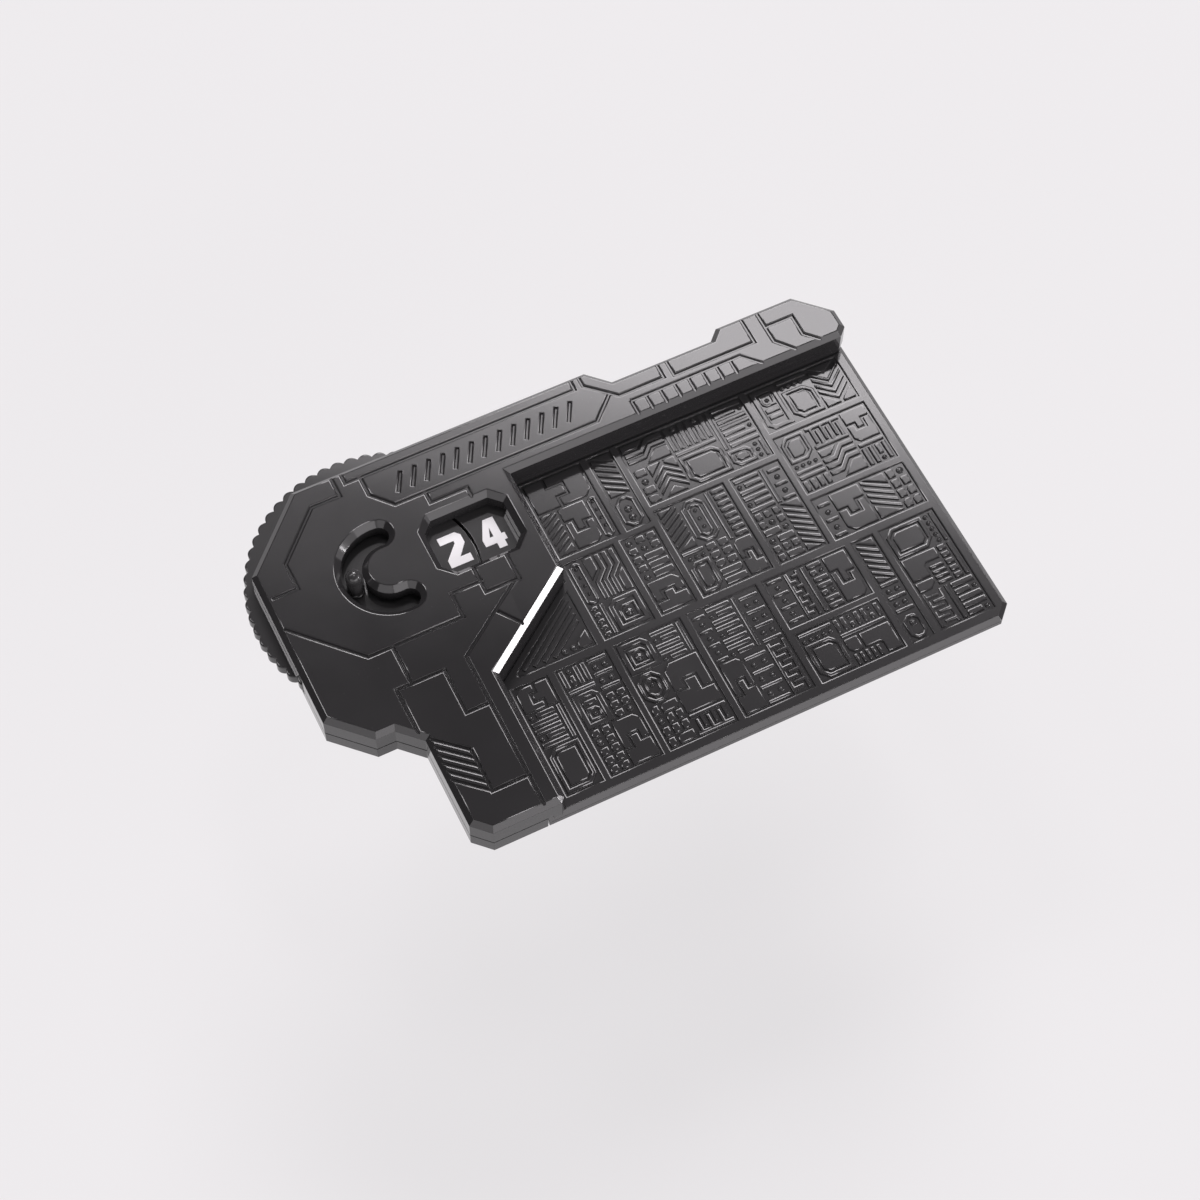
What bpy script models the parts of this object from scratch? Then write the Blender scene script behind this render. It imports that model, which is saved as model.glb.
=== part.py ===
"""Damage counter pad for card games: a low moulded tray with a two-digit dial.

The pad lies flat on the table. A housing on the left holds two discs on one
axle: a scalloped ones wheel that a thumb turns at the rim, and a tens disc
inside it that a peg in a C-shaped slot turns. A rail runs along the back edge,
and a flat card tray fills the corner between the housing and the rail.

Units are metres, +Z is up, +X runs along the rail from the dial to the free
end, +Y points from the front edge to the rail. The origin is the centre of the
bounding box in plan, at the underside of the feet. All sizes below are in
plan coordinates from the housing's left wall and the tray's front edge; the
finished pieces are shifted to the origin at the end.
"""

import math

import bmesh
import bpy
import numpy as np
from mathutils import Matrix, Vector

MM = 0.001

# Clearances
GAP = 0.3 * MM                  # between pieces that touch on the real object
RUNNING_GAP = 0.35 * MM         # round the wheels, where they turn past a wall
OVERRUN = 1.0 * MM              # how far a cutter runs past what it cuts
HEADROOM_SHARE = 0.8            # of the gap, over the ones wheel where it passes under the walls

# Ones wheel and how far its rim stands out of the housing
WHEEL_RADIUS = 34.6 * MM
RIM_SHOWN_LEFT = 4.6 * MM
RIM_SHOWN_BACK = 5.6 * MM
WHEEL_ROOM_FRONT = 4.5 * MM     # from the rim to the ledge beside the foot
WHEEL_ROOM_RIGHT = 1.5 * MM     # from the rim to the pocket's side wall
WHEEL_ROOM_DIAGONAL = 1.0 * MM  # from the rim to the pocket's slanted wall

# Plan of the two shells
FOOT_LEFT = 18.9 * MM
FOOT_RIGHT = 40.9 * MM
FOOT_FRONT_CUT = 4.0 * MM
FOOT_CORNER_CUT = 1.2 * MM
WAIST_Y = 27.3 * MM
WAIST_CUT = 5.2 * MM
LEDGE_X = 9.0 * MM
BACK_CUT = 17.2 * MM
BACK_STEP_REACH = 28.1 * MM     # of the back wall past the pocket's side wall
BACK_STEP = 5.1 * MM
RAIL_WIDTH = 12.7 * MM
BUMP_LENGTH = 28.7 * MM         # of the wider stretch at the rail's free end
BUMP_HEIGHT = 2.8 * MM
RAIL_END_CUT = 7.9 * MM
RAIL_FRONT_CUT = 2.2 * MM
DIAGONAL_DEG = 36
CARD_POCKET_LENGTH = 91.0 * MM
TRAY_SETBACK = 0.6 * MM         # of the tray's edges under and beside the rail
TRAY_CORNER_CUT = 3.5 * MM
TRAY_REBATE = 0.15 * MM         # how much lower the tray is under the walls and the rail

# Heights of the shells above their own underside
SHELL_HEIGHT = 10.2 * MM
SEAM_HEIGHT = 4.2 * MM
TRAY_THICKNESS = 2.64 * MM
FLOOR = 1.4 * MM
WALL = 1.8 * MM
ROOF = 1.8 * MM
EDGE_CHAMFER = 1.3 * MM
TRAY_CHAMFER = 1.2 * MM

# Where the base shell meets the tray, measured inwards from the pocket's walls
FOOT_TONGUE = 4.5 * MM
DIAGONAL_TONGUE = 0.6 * MM
WALL_TONGUE = 1.3 * MM
NOTCH_WIDTH = 1.3 * MM

# Grip feet
FOOT_PAD_RADIUS = 4.0 * MM
FOOT_PAD_PROUD = 0.5 * MM
FOOT_PAD_SOCKET = 0.8 * MM

# Dial
LOBE_DEPTH = 0.75 * MM
LOBE_COUNT = 60
LOBE_TURN_DEG = -1              # from the numerals to the nearest crest
WHEEL_RIM_CHAMFER = 0.35 * MM
WHEEL_BOTTOM = 2.3 * MM
WHEEL_THICKNESS = 3.0 * MM
WEB_THICKNESS = 0.9 * MM
DISC_RADIUS = 20.9 * MM
DISC_THICKNESS = 1.3 * MM
HUB_RADIUS = 5.0 * MM
HUB_HEIGHT = 3.6 * MM
AXLE_RADIUS = 2.5 * MM
AXLE_TOP = 7.3 * MM
AXLE_GROOVE_DEPTH = 0.5 * MM
AXLE_SEAT = 1.6 * MM
WASHER_INNER_RADIUS = 5.6 * MM
WASHER_OUTER_RADIUS = 8.5 * MM
WASHER_THICKNESS = 0.3 * MM
CLIP_RADIUS = 3.9 * MM
CLIP_THICKNESS = 0.4 * MM
CLIP_MOUTH_DEG = 70

# Thumb peg and its slot
PEG_RADIUS = 2.0 * MM
PEG_STEM_RADIUS = 1.2 * MM
PEG_STEM_LENGTH = 0.9 * MM
PEG_COLLAR = 0.2 * MM
PEG_COLLAR_HEIGHT = 0.4 * MM
PEG_RISE = 1.25 * MM            # of the dome's centre over the top face
PEG_ORBIT = 9.1 * MM
PEG_REST_DEG = 180
TENS_STEP_DEG = 48
TENS_COUNT = 5
SLOT_HALF_WIDTH = 2.5 * MM
SLOT_CHAMFER = 1.4 * MM
DRUM_WALL = 2.0 * MM
DRUM_POCKET_RADIUS = 4.6 * MM
DRUM_POCKET_HEIGHT = 2.0 * MM

# Number window
WINDOW_REACH = 21.05 * MM       # from the dial's axis to the middle of the window
WINDOW_LENGTH = 20.3 * MM
WINDOW_WIDTH = 15.3 * MM
WINDOW_CORNER = 2.8 * MM
WINDOW_CHAMFER = 1.4 * MM
WINDOW_COLLAR = 1.2 * MM

# Click springs
SPRING_WIDTH = 2.4 * MM
SPRING_THICKNESS = 0.3 * MM
SPRING_NUB_RADIUS = 0.7 * MM
SPRING_NUB_HEIGHT = 0.15 * MM
ONES_SPRING_ORBIT = 26.0 * MM
ONES_SPRING_START_DEG = -100
ONES_SPRING_END_DEG = -56
TENS_SPRING_ORBIT = 9.6 * MM
TENS_SPRING_START_DEG = -45
TENS_SPRING_END_DEG = 45
TENS_SPRING_LIFT = 0.3 * MM

# Screws
SCREW_RADIUS = 1.0 * MM
SCREW_HEAD_RADIUS = 1.9 * MM
SCREW_HEAD_HEIGHT = 0.9 * MM
SCREW_RECESS = 1.3 * MM
SCREW_LENGTH = 6.0 * MM
SCREW_DRIVE_RADIUS = 0.7 * MM
SCREW_DRIVE_DEPTH = 0.5 * MM
BOSS_RADIUS = 2.6 * MM
PAD_RADIUS = 3.6 * MM
SCREW_INSET = 7.5 * MM          # from the outer walls
FOOT_PAD_INSET = 10.0 * MM      # from the tray's and housing's edges

# Panel lines in the top face
LINE_WIDTH = 1.0 * MM
LINE_FLOOR_WIDTH = 0.45 * MM
LINE_DEPTH = 0.45 * MM

# Smoothness of round shapes, in straight runs
ROUND_RUNS = 96
SMALL_ROUND_RUNS = 28
PIN_RUNS = 18
LOBE_RUNS = 4
CAP_RUNS = 10
DOME_RINGS = 5
SMOOTH_DEG = 35

# Places in plan that follow from those above
LEDGE_Y = WAIST_Y + WAIST_CUT
DIAL_X = WHEEL_RADIUS - RIM_SHOWN_LEFT
DIAL_Y = LEDGE_Y + WHEEL_ROOM_FRONT + WHEEL_RADIUS
BACK_Y = DIAL_Y + WHEEL_RADIUS - RIM_SHOWN_BACK
POCKET_LEFT = DIAL_X + WHEEL_RADIUS + WHEEL_ROOM_RIGHT
BACK_END_X = POCKET_LEFT + BACK_STEP_REACH
RAIL_BACK_Y = BACK_Y - BACK_STEP
RAIL_FRONT_Y = RAIL_BACK_Y - RAIL_WIDTH
TRAY_RIGHT = POCKET_LEFT + CARD_POCKET_LENGTH
RAIL_END_X = TRAY_RIGHT + TRAY_SETBACK
DIAL = Vector((DIAL_X, DIAL_Y, 0.0))
ORIGIN = Vector(((RAIL_END_X - RIM_SHOWN_LEFT) / 2, (BACK_Y + RIM_SHOWN_BACK) / 2, 0.0))

# Heights that follow from those above
SHELL_Z = FOOT_PAD_PROUD
TOP_Z = SHELL_Z + SHELL_HEIGHT
SEAM_Z = SHELL_Z + SEAM_HEIGHT
TRAY_TOP_Z = SHELL_Z + TRAY_THICKNESS
REBATE_Z = TRAY_TOP_Z - TRAY_REBATE
LIP_Z = REBATE_Z + GAP
FLOOR_TOP_Z = SHELL_Z + FLOOR
ROOF_UNDER_Z = TOP_Z - ROOF
WHEEL_Z = SHELL_Z + WHEEL_BOTTOM
WHEEL_TOP_Z = WHEEL_Z + WHEEL_THICKNESS
WEB_TOP_Z = WHEEL_Z + WEB_THICKNESS
DISC_Z = WHEEL_TOP_Z - DISC_THICKNESS
DRUM_Z = WHEEL_TOP_Z + GAP
HUB_TOP_Z = SHELL_Z + HUB_HEIGHT
AXLE_SEAT_Z = SHELL_Z + AXLE_SEAT
AXLE_TOP_Z = SHELL_Z + AXLE_TOP
DRUM_POCKET_Z = DRUM_Z + DRUM_POCKET_HEIGHT
CLIP_Z = WHEEL_TOP_Z + GAP
PEG_DOME_Z = TOP_Z + PEG_RISE
SLOT_SWEEP_DEG = TENS_STEP_DEG * (TENS_COUNT - 1) / 2


def line_meet(p, d, q, e):
    """Return the point where the line through p along d meets the one through q along e."""
    cross = d[0] * e[1] - d[1] * e[0]
    t = ((q[0] - p[0]) * e[1] - (q[1] - p[1]) * e[0]) / cross
    return (p[0] + d[0] * t, p[1] + d[1] * t)


def inset(points, distances):
    """Return a closed outline moved inwards, each edge by its own distance.

    The outline runs counter-clockwise and edge i runs from point i to the next.
    One distance serves all edges when it is given as a single number.
    """
    count = len(points)
    if not isinstance(distances, (list, tuple)):
        distances = [distances] * count
    lines = []
    for i, (p, distance) in enumerate(zip(points, distances)):
        q = points[(i + 1) % count]
        dx, dy = q[0] - p[0], q[1] - p[1]
        length = math.hypot(dx, dy)
        normal = (-dy / length, dx / length)
        lines.append(((p[0] + normal[0] * distance, p[1] + normal[1] * distance), (dx, dy)))
    return [line_meet(*lines[i - 1], *lines[i]) for i in range(count)]


def circle(centre, radius, runs, start_deg=0.0, end_deg=360.0):
    """Return points round a circle, or along an arc with both its ends."""
    whole = abs(end_deg - start_deg) >= 360.0
    angles = np.radians(np.linspace(start_deg, end_deg, runs + 1))
    if whole:
        angles = angles[:-1]
    return [(centre[0] + radius * math.cos(a), centre[1] + radius * math.sin(a)) for a in angles]


def arc_band(centre, orbit, half_width, start_deg, end_deg, runs, cap_runs):
    """Return the outline of a band along an arc, with round ends."""
    ends = [(centre[0] + orbit * math.cos(math.radians(a)), centre[1] + orbit * math.sin(math.radians(a)))
            for a in (start_deg, end_deg)]
    outer = circle(centre, orbit + half_width, runs, start_deg, end_deg)
    far_cap = circle(ends[1], half_width, cap_runs, end_deg, end_deg + 180.0)
    inner = circle(centre, orbit - half_width, runs, end_deg, start_deg)
    near_cap = circle(ends[0], half_width, cap_runs, start_deg + 180.0, start_deg + 360.0)
    return outer + far_cap[1:-1] + inner + near_cap[1:-1]


def octagon(centre, length, width, corner):
    """Return a rectangle with its corners cut at 45 degrees."""
    x, y = length / 2, width / 2
    return [(centre[0] + px, centre[1] + py) for px, py in (
        (-x + corner, -y), (x - corner, -y), (x, -y + corner), (x, y - corner),
        (x - corner, y), (-x + corner, y), (-x, y - corner), (-x, -y + corner))]


def add_loft(bm, rings):
    """Add a closed solid through rings of equal point counts, given as (outline, z)."""
    loops = [[bm.verts.new((x, y, z)) for x, y in outline] for outline, z in rings]
    count = len(loops[0])
    for low, high in zip(loops, loops[1:]):
        for i in range(count):
            j = (i + 1) % count
            bm.faces.new((low[i], low[j], high[j], high[i]))
    bm.faces.new(list(reversed(loops[0])))
    bm.faces.new(loops[-1])


def add_ring(bm, outer, inner, z_low, z_high):
    """Add a closed ring between two outlines of equal point counts."""
    loops = [[bm.verts.new((x, y, z)) for x, y in outline]
             for outline, z in ((outer, z_low), (outer, z_high), (inner, z_high), (inner, z_low))]
    count = len(outer)
    for k, low in enumerate(loops):
        high = loops[(k + 1) % len(loops)]
        for i in range(count):
            j = (i + 1) % count
            bm.faces.new((low[i], low[j], high[j], high[i]))


def new_mesh(name, fill, material=None, smooth=False):
    """Return a mesh that the function fill builds in an empty bmesh."""
    bm = bmesh.new()
    fill(bm)
    bmesh.ops.recalc_face_normals(bm, faces=bm.faces)
    mesh = bpy.data.meshes.new(name)
    bm.to_mesh(mesh)
    bm.free()
    if material:
        mesh.materials.append(material)
    if smooth:
        mesh.shade_smooth()
        mesh.set_sharp_from_angle(angle=math.radians(SMOOTH_DEG))
    return mesh


def solid_mesh(name, rings, material):
    """Return the mesh of one round solid through rings, see add_loft."""
    return new_mesh(name, lambda bm: add_loft(bm, rings), material, smooth=True)


def link(name, mesh, place=(0.0, 0.0)):
    """Put a new object with this mesh into the scene, and return it."""
    obj = bpy.data.objects.new(name, mesh)
    obj.location = (*place, 0.0)
    bpy.context.scene.collection.objects.link(obj)
    return obj


def place_copies(name, mesh, places):
    """Put one object with the same mesh at each place, numbered where there are several."""
    for i, place in enumerate(places):
        link(f'{name}_{i + 1}' if len(places) > 1 else name, mesh, place)


def mesh_object(name, fill, material=None, smooth=False):
    """Make an object whose mesh the function fill builds, and return it."""
    return link(name, new_mesh(name, fill, material, smooth))


def loft(name, rings, material=None, smooth=False):
    """Make one closed solid through rings, see add_loft."""
    return mesh_object(name, lambda bm: add_loft(bm, rings), material, smooth)


def prism(name, outline, z_low, z_high, material=None, smooth=False):
    """Make an upright solid with the same outline from z_low to z_high."""
    return loft(name, [(outline, z_low), (outline, z_high)], material, smooth)


def as_cutter(obj):
    """Mark an object as a tool that shapes others and is no part itself."""
    obj.hide_render = True
    obj.display_type = 'WIRE'
    return obj


def combine(obj, tool, operation='DIFFERENCE'):
    """Add a Boolean to obj, with tool as a cutter or an addition."""
    as_cutter(tool)
    modifier = obj.modifiers.new(tool.name, 'BOOLEAN')
    modifier.operation = operation
    modifier.solver = 'EXACT'
    modifier.object = tool
    return obj


def plastic(name, colour, roughness, metallic=0.0):
    """Return a Principled BSDF material."""
    material = bpy.data.materials.new(name)
    material.use_nodes = True
    shader = material.node_tree.nodes['Principled BSDF']
    shader.inputs['Base Color'].default_value = (*colour, 1.0)
    shader.inputs['Roughness'].default_value = roughness
    shader.inputs['Metallic'].default_value = metallic
    return material


def pocket_lines():
    """Return the three straight walls round the pocket's left side, as (point, direction)."""
    angle = math.radians(DIAGONAL_DEG)
    reach = WHEEL_RADIUS + WHEEL_ROOM_DIAGONAL
    nearest = (DIAL_X + reach * math.sin(angle), DIAL_Y - reach * math.cos(angle))
    return (((FOOT_RIGHT, 0.0), (0.0, 1.0)),
            (nearest, (math.cos(angle), math.sin(angle))),
            ((POCKET_LEFT, 0.0), (0.0, 1.0)))


def left_outline():
    """Return the outer points of the housing and foot, from the back round to the front."""
    return [(BACK_CUT, BACK_Y), (0.0, BACK_Y - BACK_CUT), (0.0, LEDGE_Y + LEDGE_X),
            (LEDGE_X, LEDGE_Y), (FOOT_LEFT - WAIST_CUT, LEDGE_Y), (FOOT_LEFT, WAIST_Y),
            (FOOT_LEFT, FOOT_FRONT_CUT), (FOOT_LEFT + FOOT_FRONT_CUT, 0.0)]


def pocket_outline(corner_cut=True):
    """Return the points of the pocket's walls, from the foot to the rail's free end."""
    foot = [(FOOT_RIGHT, 0.0)]
    if corner_cut:
        foot = [(FOOT_RIGHT - FOOT_CORNER_CUT, 0.0), (FOOT_RIGHT, FOOT_CORNER_CUT)]
    foot_wall, diagonal, side_wall = pocket_lines()
    return foot + [line_meet(*foot_wall, *diagonal), line_meet(*side_wall, *diagonal),
                   (POCKET_LEFT, RAIL_FRONT_Y)]


def rail_outline(front_cut=True):
    """Return the points of the rail, from its front face round the free end to the back."""
    front = [(RAIL_END_X, RAIL_FRONT_Y)]
    if front_cut:
        front = [(RAIL_END_X - RAIL_FRONT_CUT, RAIL_FRONT_Y), (RAIL_END_X, RAIL_FRONT_Y + RAIL_FRONT_CUT)]
    bump_y = RAIL_BACK_Y + BUMP_HEIGHT
    bump_x = RAIL_END_X - BUMP_LENGTH
    return front + [(RAIL_END_X, bump_y - RAIL_END_CUT), (RAIL_END_X - RAIL_END_CUT, bump_y),
                    (bump_x, bump_y), (bump_x - BUMP_HEIGHT, RAIL_BACK_Y),
                    (BACK_END_X + BACK_STEP, RAIL_BACK_Y), (BACK_END_X, BACK_Y)]


def moved_walls(foot_move, slant_move, wall_move):
    """Return the pocket's left walls from front to back, each moved towards the tray."""
    foot, (point, along), wall = pocket_lines()
    slanted = ((point[0] + along[1] * slant_move, point[1] - along[0] * slant_move), along)
    foot_x, wall_x = foot[0][0] + foot_move, wall[0][0] + wall_move
    return [(foot_x, 0.0), line_meet((foot_x, 0.0), foot[1], *slanted),
            line_meet((wall_x, 0.0), wall[1], *slanted), (wall_x, BACK_Y)]


def joint_line(shift):
    """Return the butt joint of base and tray from front to back, moved by shift towards the tray."""
    return moved_walls(shift - FOOT_TONGUE, shift - DIAGONAL_TONGUE, shift - WALL_TONGUE)


def base_outline(shift):
    """Return the base shell's outline, its tray side moved by shift."""
    return left_outline() + joint_line(shift)


def tray_outline():
    """Return the tray's outline: the pocket, and the strip under the rail."""
    rail = inset(rail_outline(False) + [(POCKET_LEFT, BACK_Y), (POCKET_LEFT, RAIL_FRONT_Y)],
                 TRAY_SETBACK)
    joint = joint_line(GAP / 2)
    back_y = BACK_Y - TRAY_SETBACK
    return ([joint[0], (TRAY_RIGHT - TRAY_CORNER_CUT, 0.0), (TRAY_RIGHT, TRAY_CORNER_CUT)]
            + rail[1:7] + [(joint[3][0], back_y), joint[2], joint[1]])


def rebate_plan():
    """Return the plan of the rebate in the tray's top: all that lies under walls and rail."""
    walls, joint = moved_walls(GAP, GAP, GAP), joint_line(-OVERRUN)
    front_y, step_y, back_y = -OVERRUN, RAIL_FRONT_Y - GAP, BACK_Y + OVERRUN
    right_x = RAIL_END_X + OVERRUN
    return [(joint[0][0], front_y), (walls[0][0], front_y), walls[1], walls[2],
            (walls[3][0], step_y), (right_x, step_y), (right_x, back_y),
            (joint[3][0], back_y), joint[2], joint[1]]


def foot_middle_x():
    """Return the middle of the foot, between its left wall and the tray's joint."""
    return (FOOT_LEFT + FOOT_RIGHT - FOOT_TONGUE) / 2


def housing_screw_places():
    """Return where screws hold the housing to the base: two in the foot, one at the ledge."""
    x = foot_middle_x()
    return [(x, SCREW_INSET), (x, WAIST_Y), (SCREW_INSET, LEDGE_Y + LEDGE_X)]


def tray_screw_places():
    """Return where screws hold the tray to the rail: at its ends and its middle."""
    left, right = POCKET_LEFT + SCREW_INSET, RAIL_END_X - SCREW_INSET
    y = (RAIL_FRONT_Y + RAIL_BACK_Y) / 2
    return [(left, y), ((left + right) / 2, y), (right, y)]


def base_pad_places():
    """Return where the grip feet sit under the base: in the foot and under the dial."""
    return [(foot_middle_x(), (SCREW_INSET + WAIST_Y) / 2),
            (FOOT_PAD_INSET, (LEDGE_Y + LEDGE_X + BACK_Y - BACK_CUT) / 2)]


def tray_pad_places():
    """Return where the grip feet sit under the tray, near three of its corners."""
    right, back = TRAY_RIGHT - FOOT_PAD_INSET, RAIL_FRONT_Y - FOOT_PAD_INSET
    return [(right, FOOT_PAD_INSET), (right, back), (POCKET_LEFT + FOOT_PAD_INSET, back)]


def polyline_groove(name, points, z_top):
    """Make the cutter of one panel line: a channel with sloping sides along a path."""
    slope = (LINE_WIDTH - LINE_FLOOR_WIDTH) / 2 / LINE_DEPTH
    levels = [(LINE_FLOOR_WIDTH / 2, z_top - LINE_DEPTH),
              (LINE_WIDTH / 2 + slope * OVERRUN, z_top + OVERRUN)]
    path = [Vector(p) for p in points]

    def offset(i, half):
        directions = []
        if i > 0:
            directions.append((path[i] - path[i - 1]).normalized())
        if i < len(path) - 1:
            directions.append((path[i + 1] - path[i]).normalized())
        normals = [Vector((-d.y, d.x)) for d in directions]
        middle = sum(normals, Vector((0.0, 0.0))).normalized()
        return middle * (half / middle.dot(normals[0]))

    def fill(bm):
        rings = []
        for i, point in enumerate(path):
            low, high = (offset(i, half) for half, _ in levels)
            corners = ((point + low, levels[0][1]), (point - low, levels[0][1]),
                       (point - high, levels[1][1]), (point + high, levels[1][1]))
            rings.append([bm.verts.new((p.x, p.y, z)) for p, z in corners])
        for a, b in zip(rings, rings[1:]):
            for k in range(4):
                n = (k + 1) % 4
                bm.faces.new((a[k], a[n], b[n], b[k]))
        bm.faces.new(rings[0])
        bm.faces.new(rings[-1])

    return mesh_object(name, fill)


def between(low, high, share):
    """Return the place at a share of the way from low to high."""
    return low + (high - low) * share


# Panel lines as corner points on a named area of the top face. Shares run from
# the area's left and front edge, so 1 is its right or back edge. Lines that
# run out of the face have an end beyond it.
HOUSING_LINE_SHARES = [
    [(.410, 1.01), (.410, .937), (.300, .937), (.127, .822), (.127, .750), (.030, .750)],
    [(.723, .583), (.600, .583), (.600, .516), (.239, .516), (.020, .666)],
    [(.823, .552), (.543, .420), (.543, -.01)],
    [(.716, .495), (.797, .419)],
    [(.331, .516), (.331, .4105)],
    [(.274, .270), (.274, .4105), (.454, .4105), (.454, .290), (.543, .290)],
    [(.408, .202), (.408, .090), (.543, .090)],
    [(.690, .857), (.690, .826), (.832, .826), (.832, .790)],
    [(.713, .630), (.713, .552), (.841, .552), (.841, .630)],
]
RAIL_LINE_SHARES = [
    [(.188, 1.02), (.188, .787), (.570, .787), (.570, 1.02)],
    [(.212, .787), (.212, .480), (.240, .197), (.576, .197), (.615, .530)],
    [(.584, 1.02), (.584, .787), (.6265, .436), (.703, .436), (.703, .78)],
    [(.719, .78), (.719, .405), (.858, .405), (.858, .94)],
    [(.886, .94), (.886, .303), (.9175, -.03)],
    [(.886, .560), (.9325, .560), (.9325, .236), (.961, -.03)],
    [(.639, .290), (.826, .290), (.860, -.03)],
]
LADDER_RUNG_COUNT = 8
LADDER_START_SHARE, LADDER_END_SHARE, LADDER_TOP_SHARE = .639, .808, .290
RUN_OUT_SHARE = -.03
HATCH_RIB_COUNT = 6
HATCH_LEFT_SHARE, HATCH_RIGHT_SHARE = .296, .408
HATCH_LOW_SHARE, HATCH_HIGH_SHARE, HATCH_DROP_SHARE = .157, .268, .066
BADGE_BAR_COUNT = 13
BADGE_START_SHARE, BADGE_END_SHARE, BADGE_LOW_SHARE, BADGE_HIGH_SHARE = .262, .545, .350, .640
BADGE_LEAN_SHARE = .009


def panel_lines():
    """Return the paths of every panel line in the top face."""
    def housing(points):
        return [(between(0.0, POCKET_LEFT, x), between(0.0, BACK_Y, y)) for x, y in points]

    def rail(points):
        return [(between(0.0, RAIL_END_X, x), between(RAIL_FRONT_Y, BACK_Y, y)) for x, y in points]

    paths = [housing(points) for points in HOUSING_LINE_SHARES]
    paths += [rail(points) for points in RAIL_LINE_SHARES]
    for i in range(LADDER_RUNG_COUNT):
        x = between(LADDER_START_SHARE, LADDER_END_SHARE, i / (LADDER_RUNG_COUNT - 1))
        paths.append(rail([(x, LADDER_TOP_SHARE), (x, RUN_OUT_SHARE)]))
    for i in range(HATCH_RIB_COUNT):
        y = between(HATCH_LOW_SHARE, HATCH_HIGH_SHARE, i / (HATCH_RIB_COUNT - 1))
        paths.append(housing([(HATCH_LEFT_SHARE, y), (HATCH_RIGHT_SHARE, y - HATCH_DROP_SHARE)]))
    for i in range(BADGE_BAR_COUNT):
        x = between(BADGE_START_SHARE, BADGE_END_SHARE, i / (BADGE_BAR_COUNT - 1))
        lean = BADGE_LEAN_SHARE
        paths.append(rail([(x - lean, BADGE_LOW_SHARE), (x + lean, BADGE_HIGH_SHARE)]))
    return paths


def make_top_shell(material):
    """Top shell: housing and rail in one, with the window, the slot and the panel lines."""
    outline = left_outline() + pocket_outline() + rail_outline()
    shell = loft('top_shell', [(outline, LIP_Z), (outline, TOP_Z - EDGE_CHAMFER),
                               (inset(outline, EDGE_CHAMFER), TOP_Z)], material)

    # The housing stands on the base shell, so it starts higher than the rail does
    outside = inset(base_outline(GAP), [-OVERRUN] * 7 + [-OVERRUN, 0.0, 0.0, 0.0, -OVERRUN])
    combine(shell, prism('base_zone', outside, SHELL_Z, SEAM_Z))

    # Hollow underside, less the collars and bosses that stay
    hollow_plan = inset(left_outline() + pocket_outline(False) + rail_outline(False), WALL)
    hollow = prism('shell_hollow', hollow_plan, SHELL_Z - OVERRUN, ROOF_UNDER_Z)
    drum_radius = PEG_ORBIT + SLOT_HALF_WIDTH + DRUM_WALL
    drum = prism('drum', circle(DIAL, drum_radius, ROUND_RUNS), DRUM_Z, TOP_Z)
    combine(hollow, drum)
    collar_plan = inset(window_plan(), -WINDOW_COLLAR)
    combine(hollow, prism('window_collar', collar_plan, DRUM_Z, TOP_Z))
    for i, place in enumerate(housing_screw_places() + tray_screw_places()):
        boss = prism(f'boss_{i}', circle(place, BOSS_RADIUS, PIN_RUNS), LIP_Z, TOP_Z)
        combine(hollow, boss)
    combine(shell, hollow)

    # Room for the wheels, which break out through the left and back walls
    wheel_room = circle(DIAL, WHEEL_RADIUS + RUNNING_GAP, ROUND_RUNS)
    combine(shell, prism('wheel_room', wheel_room, SHELL_Z, WHEEL_TOP_Z + GAP * HEADROOM_SHARE))

    # Number window and peg slot, both chamfered at the top face
    window_rings = [(window_plan(), DRUM_Z - OVERRUN), (window_plan(), TOP_Z - WINDOW_CHAMFER),
                    (inset(window_plan(), -WINDOW_CHAMFER - OVERRUN), TOP_Z + OVERRUN)]
    combine(shell, loft('window_cut', window_rings))
    slot_rings = [(slot_plan(0.0), DRUM_Z - OVERRUN), (slot_plan(0.0), TOP_Z - SLOT_CHAMFER),
                  (slot_plan(SLOT_CHAMFER + OVERRUN), TOP_Z + OVERRUN)]
    combine(shell, loft('slot_cut', slot_rings))

    # Pockets over the axle's end and the tens spring, and the screw holes
    combine(shell, prism('axle_pocket', circle(DIAL, DRUM_POCKET_RADIUS, SMALL_ROUND_RUNS),
                         DRUM_Z - OVERRUN, DRUM_POCKET_Z))
    spring_z = DRUM_Z + TENS_SPRING_LIFT + SPRING_THICKNESS + GAP
    combine(shell, prism('spring_pocket', tens_spring_plan(GAP), DRUM_Z - OVERRUN, spring_z))
    hole_radius = SCREW_RADIUS + GAP
    for i, place in enumerate(housing_screw_places() + tray_screw_places()):
        tip = screw_seat_z() + SCREW_LENGTH + GAP
        combine(shell, prism(f'screw_hole_{i}', circle(place, hole_radius, PIN_RUNS), SHELL_Z, tip))
    axle_tip = axle_screw_tip_z() + GAP
    combine(shell, prism('axle_screw_hole', circle(DIAL, hole_radius, PIN_RUNS),
                         DRUM_POCKET_Z - OVERRUN, axle_tip))

    # Small notch where the tray's tongue goes in under the foot's front wall
    joint_x = joint_line(0.0)[0][0]
    notch = [(joint_x - OVERRUN, -OVERRUN), (joint_x + NOTCH_WIDTH, -OVERRUN),
             (joint_x + NOTCH_WIDTH, WALL + OVERRUN), (joint_x - OVERRUN, WALL + OVERRUN)]
    combine(shell, prism('tongue_notch', notch, SHELL_Z, SEAM_Z))

    for i, path in enumerate(panel_lines()):
        combine(shell, polyline_groove(f'panel_line_{i}', path, TOP_Z))
    return shell


def window_plan():
    """Return the octagon of the number window below its chamfer."""
    return octagon((DIAL_X + WINDOW_REACH, DIAL_Y), WINDOW_LENGTH, WINDOW_WIDTH, WINDOW_CORNER)


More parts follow.
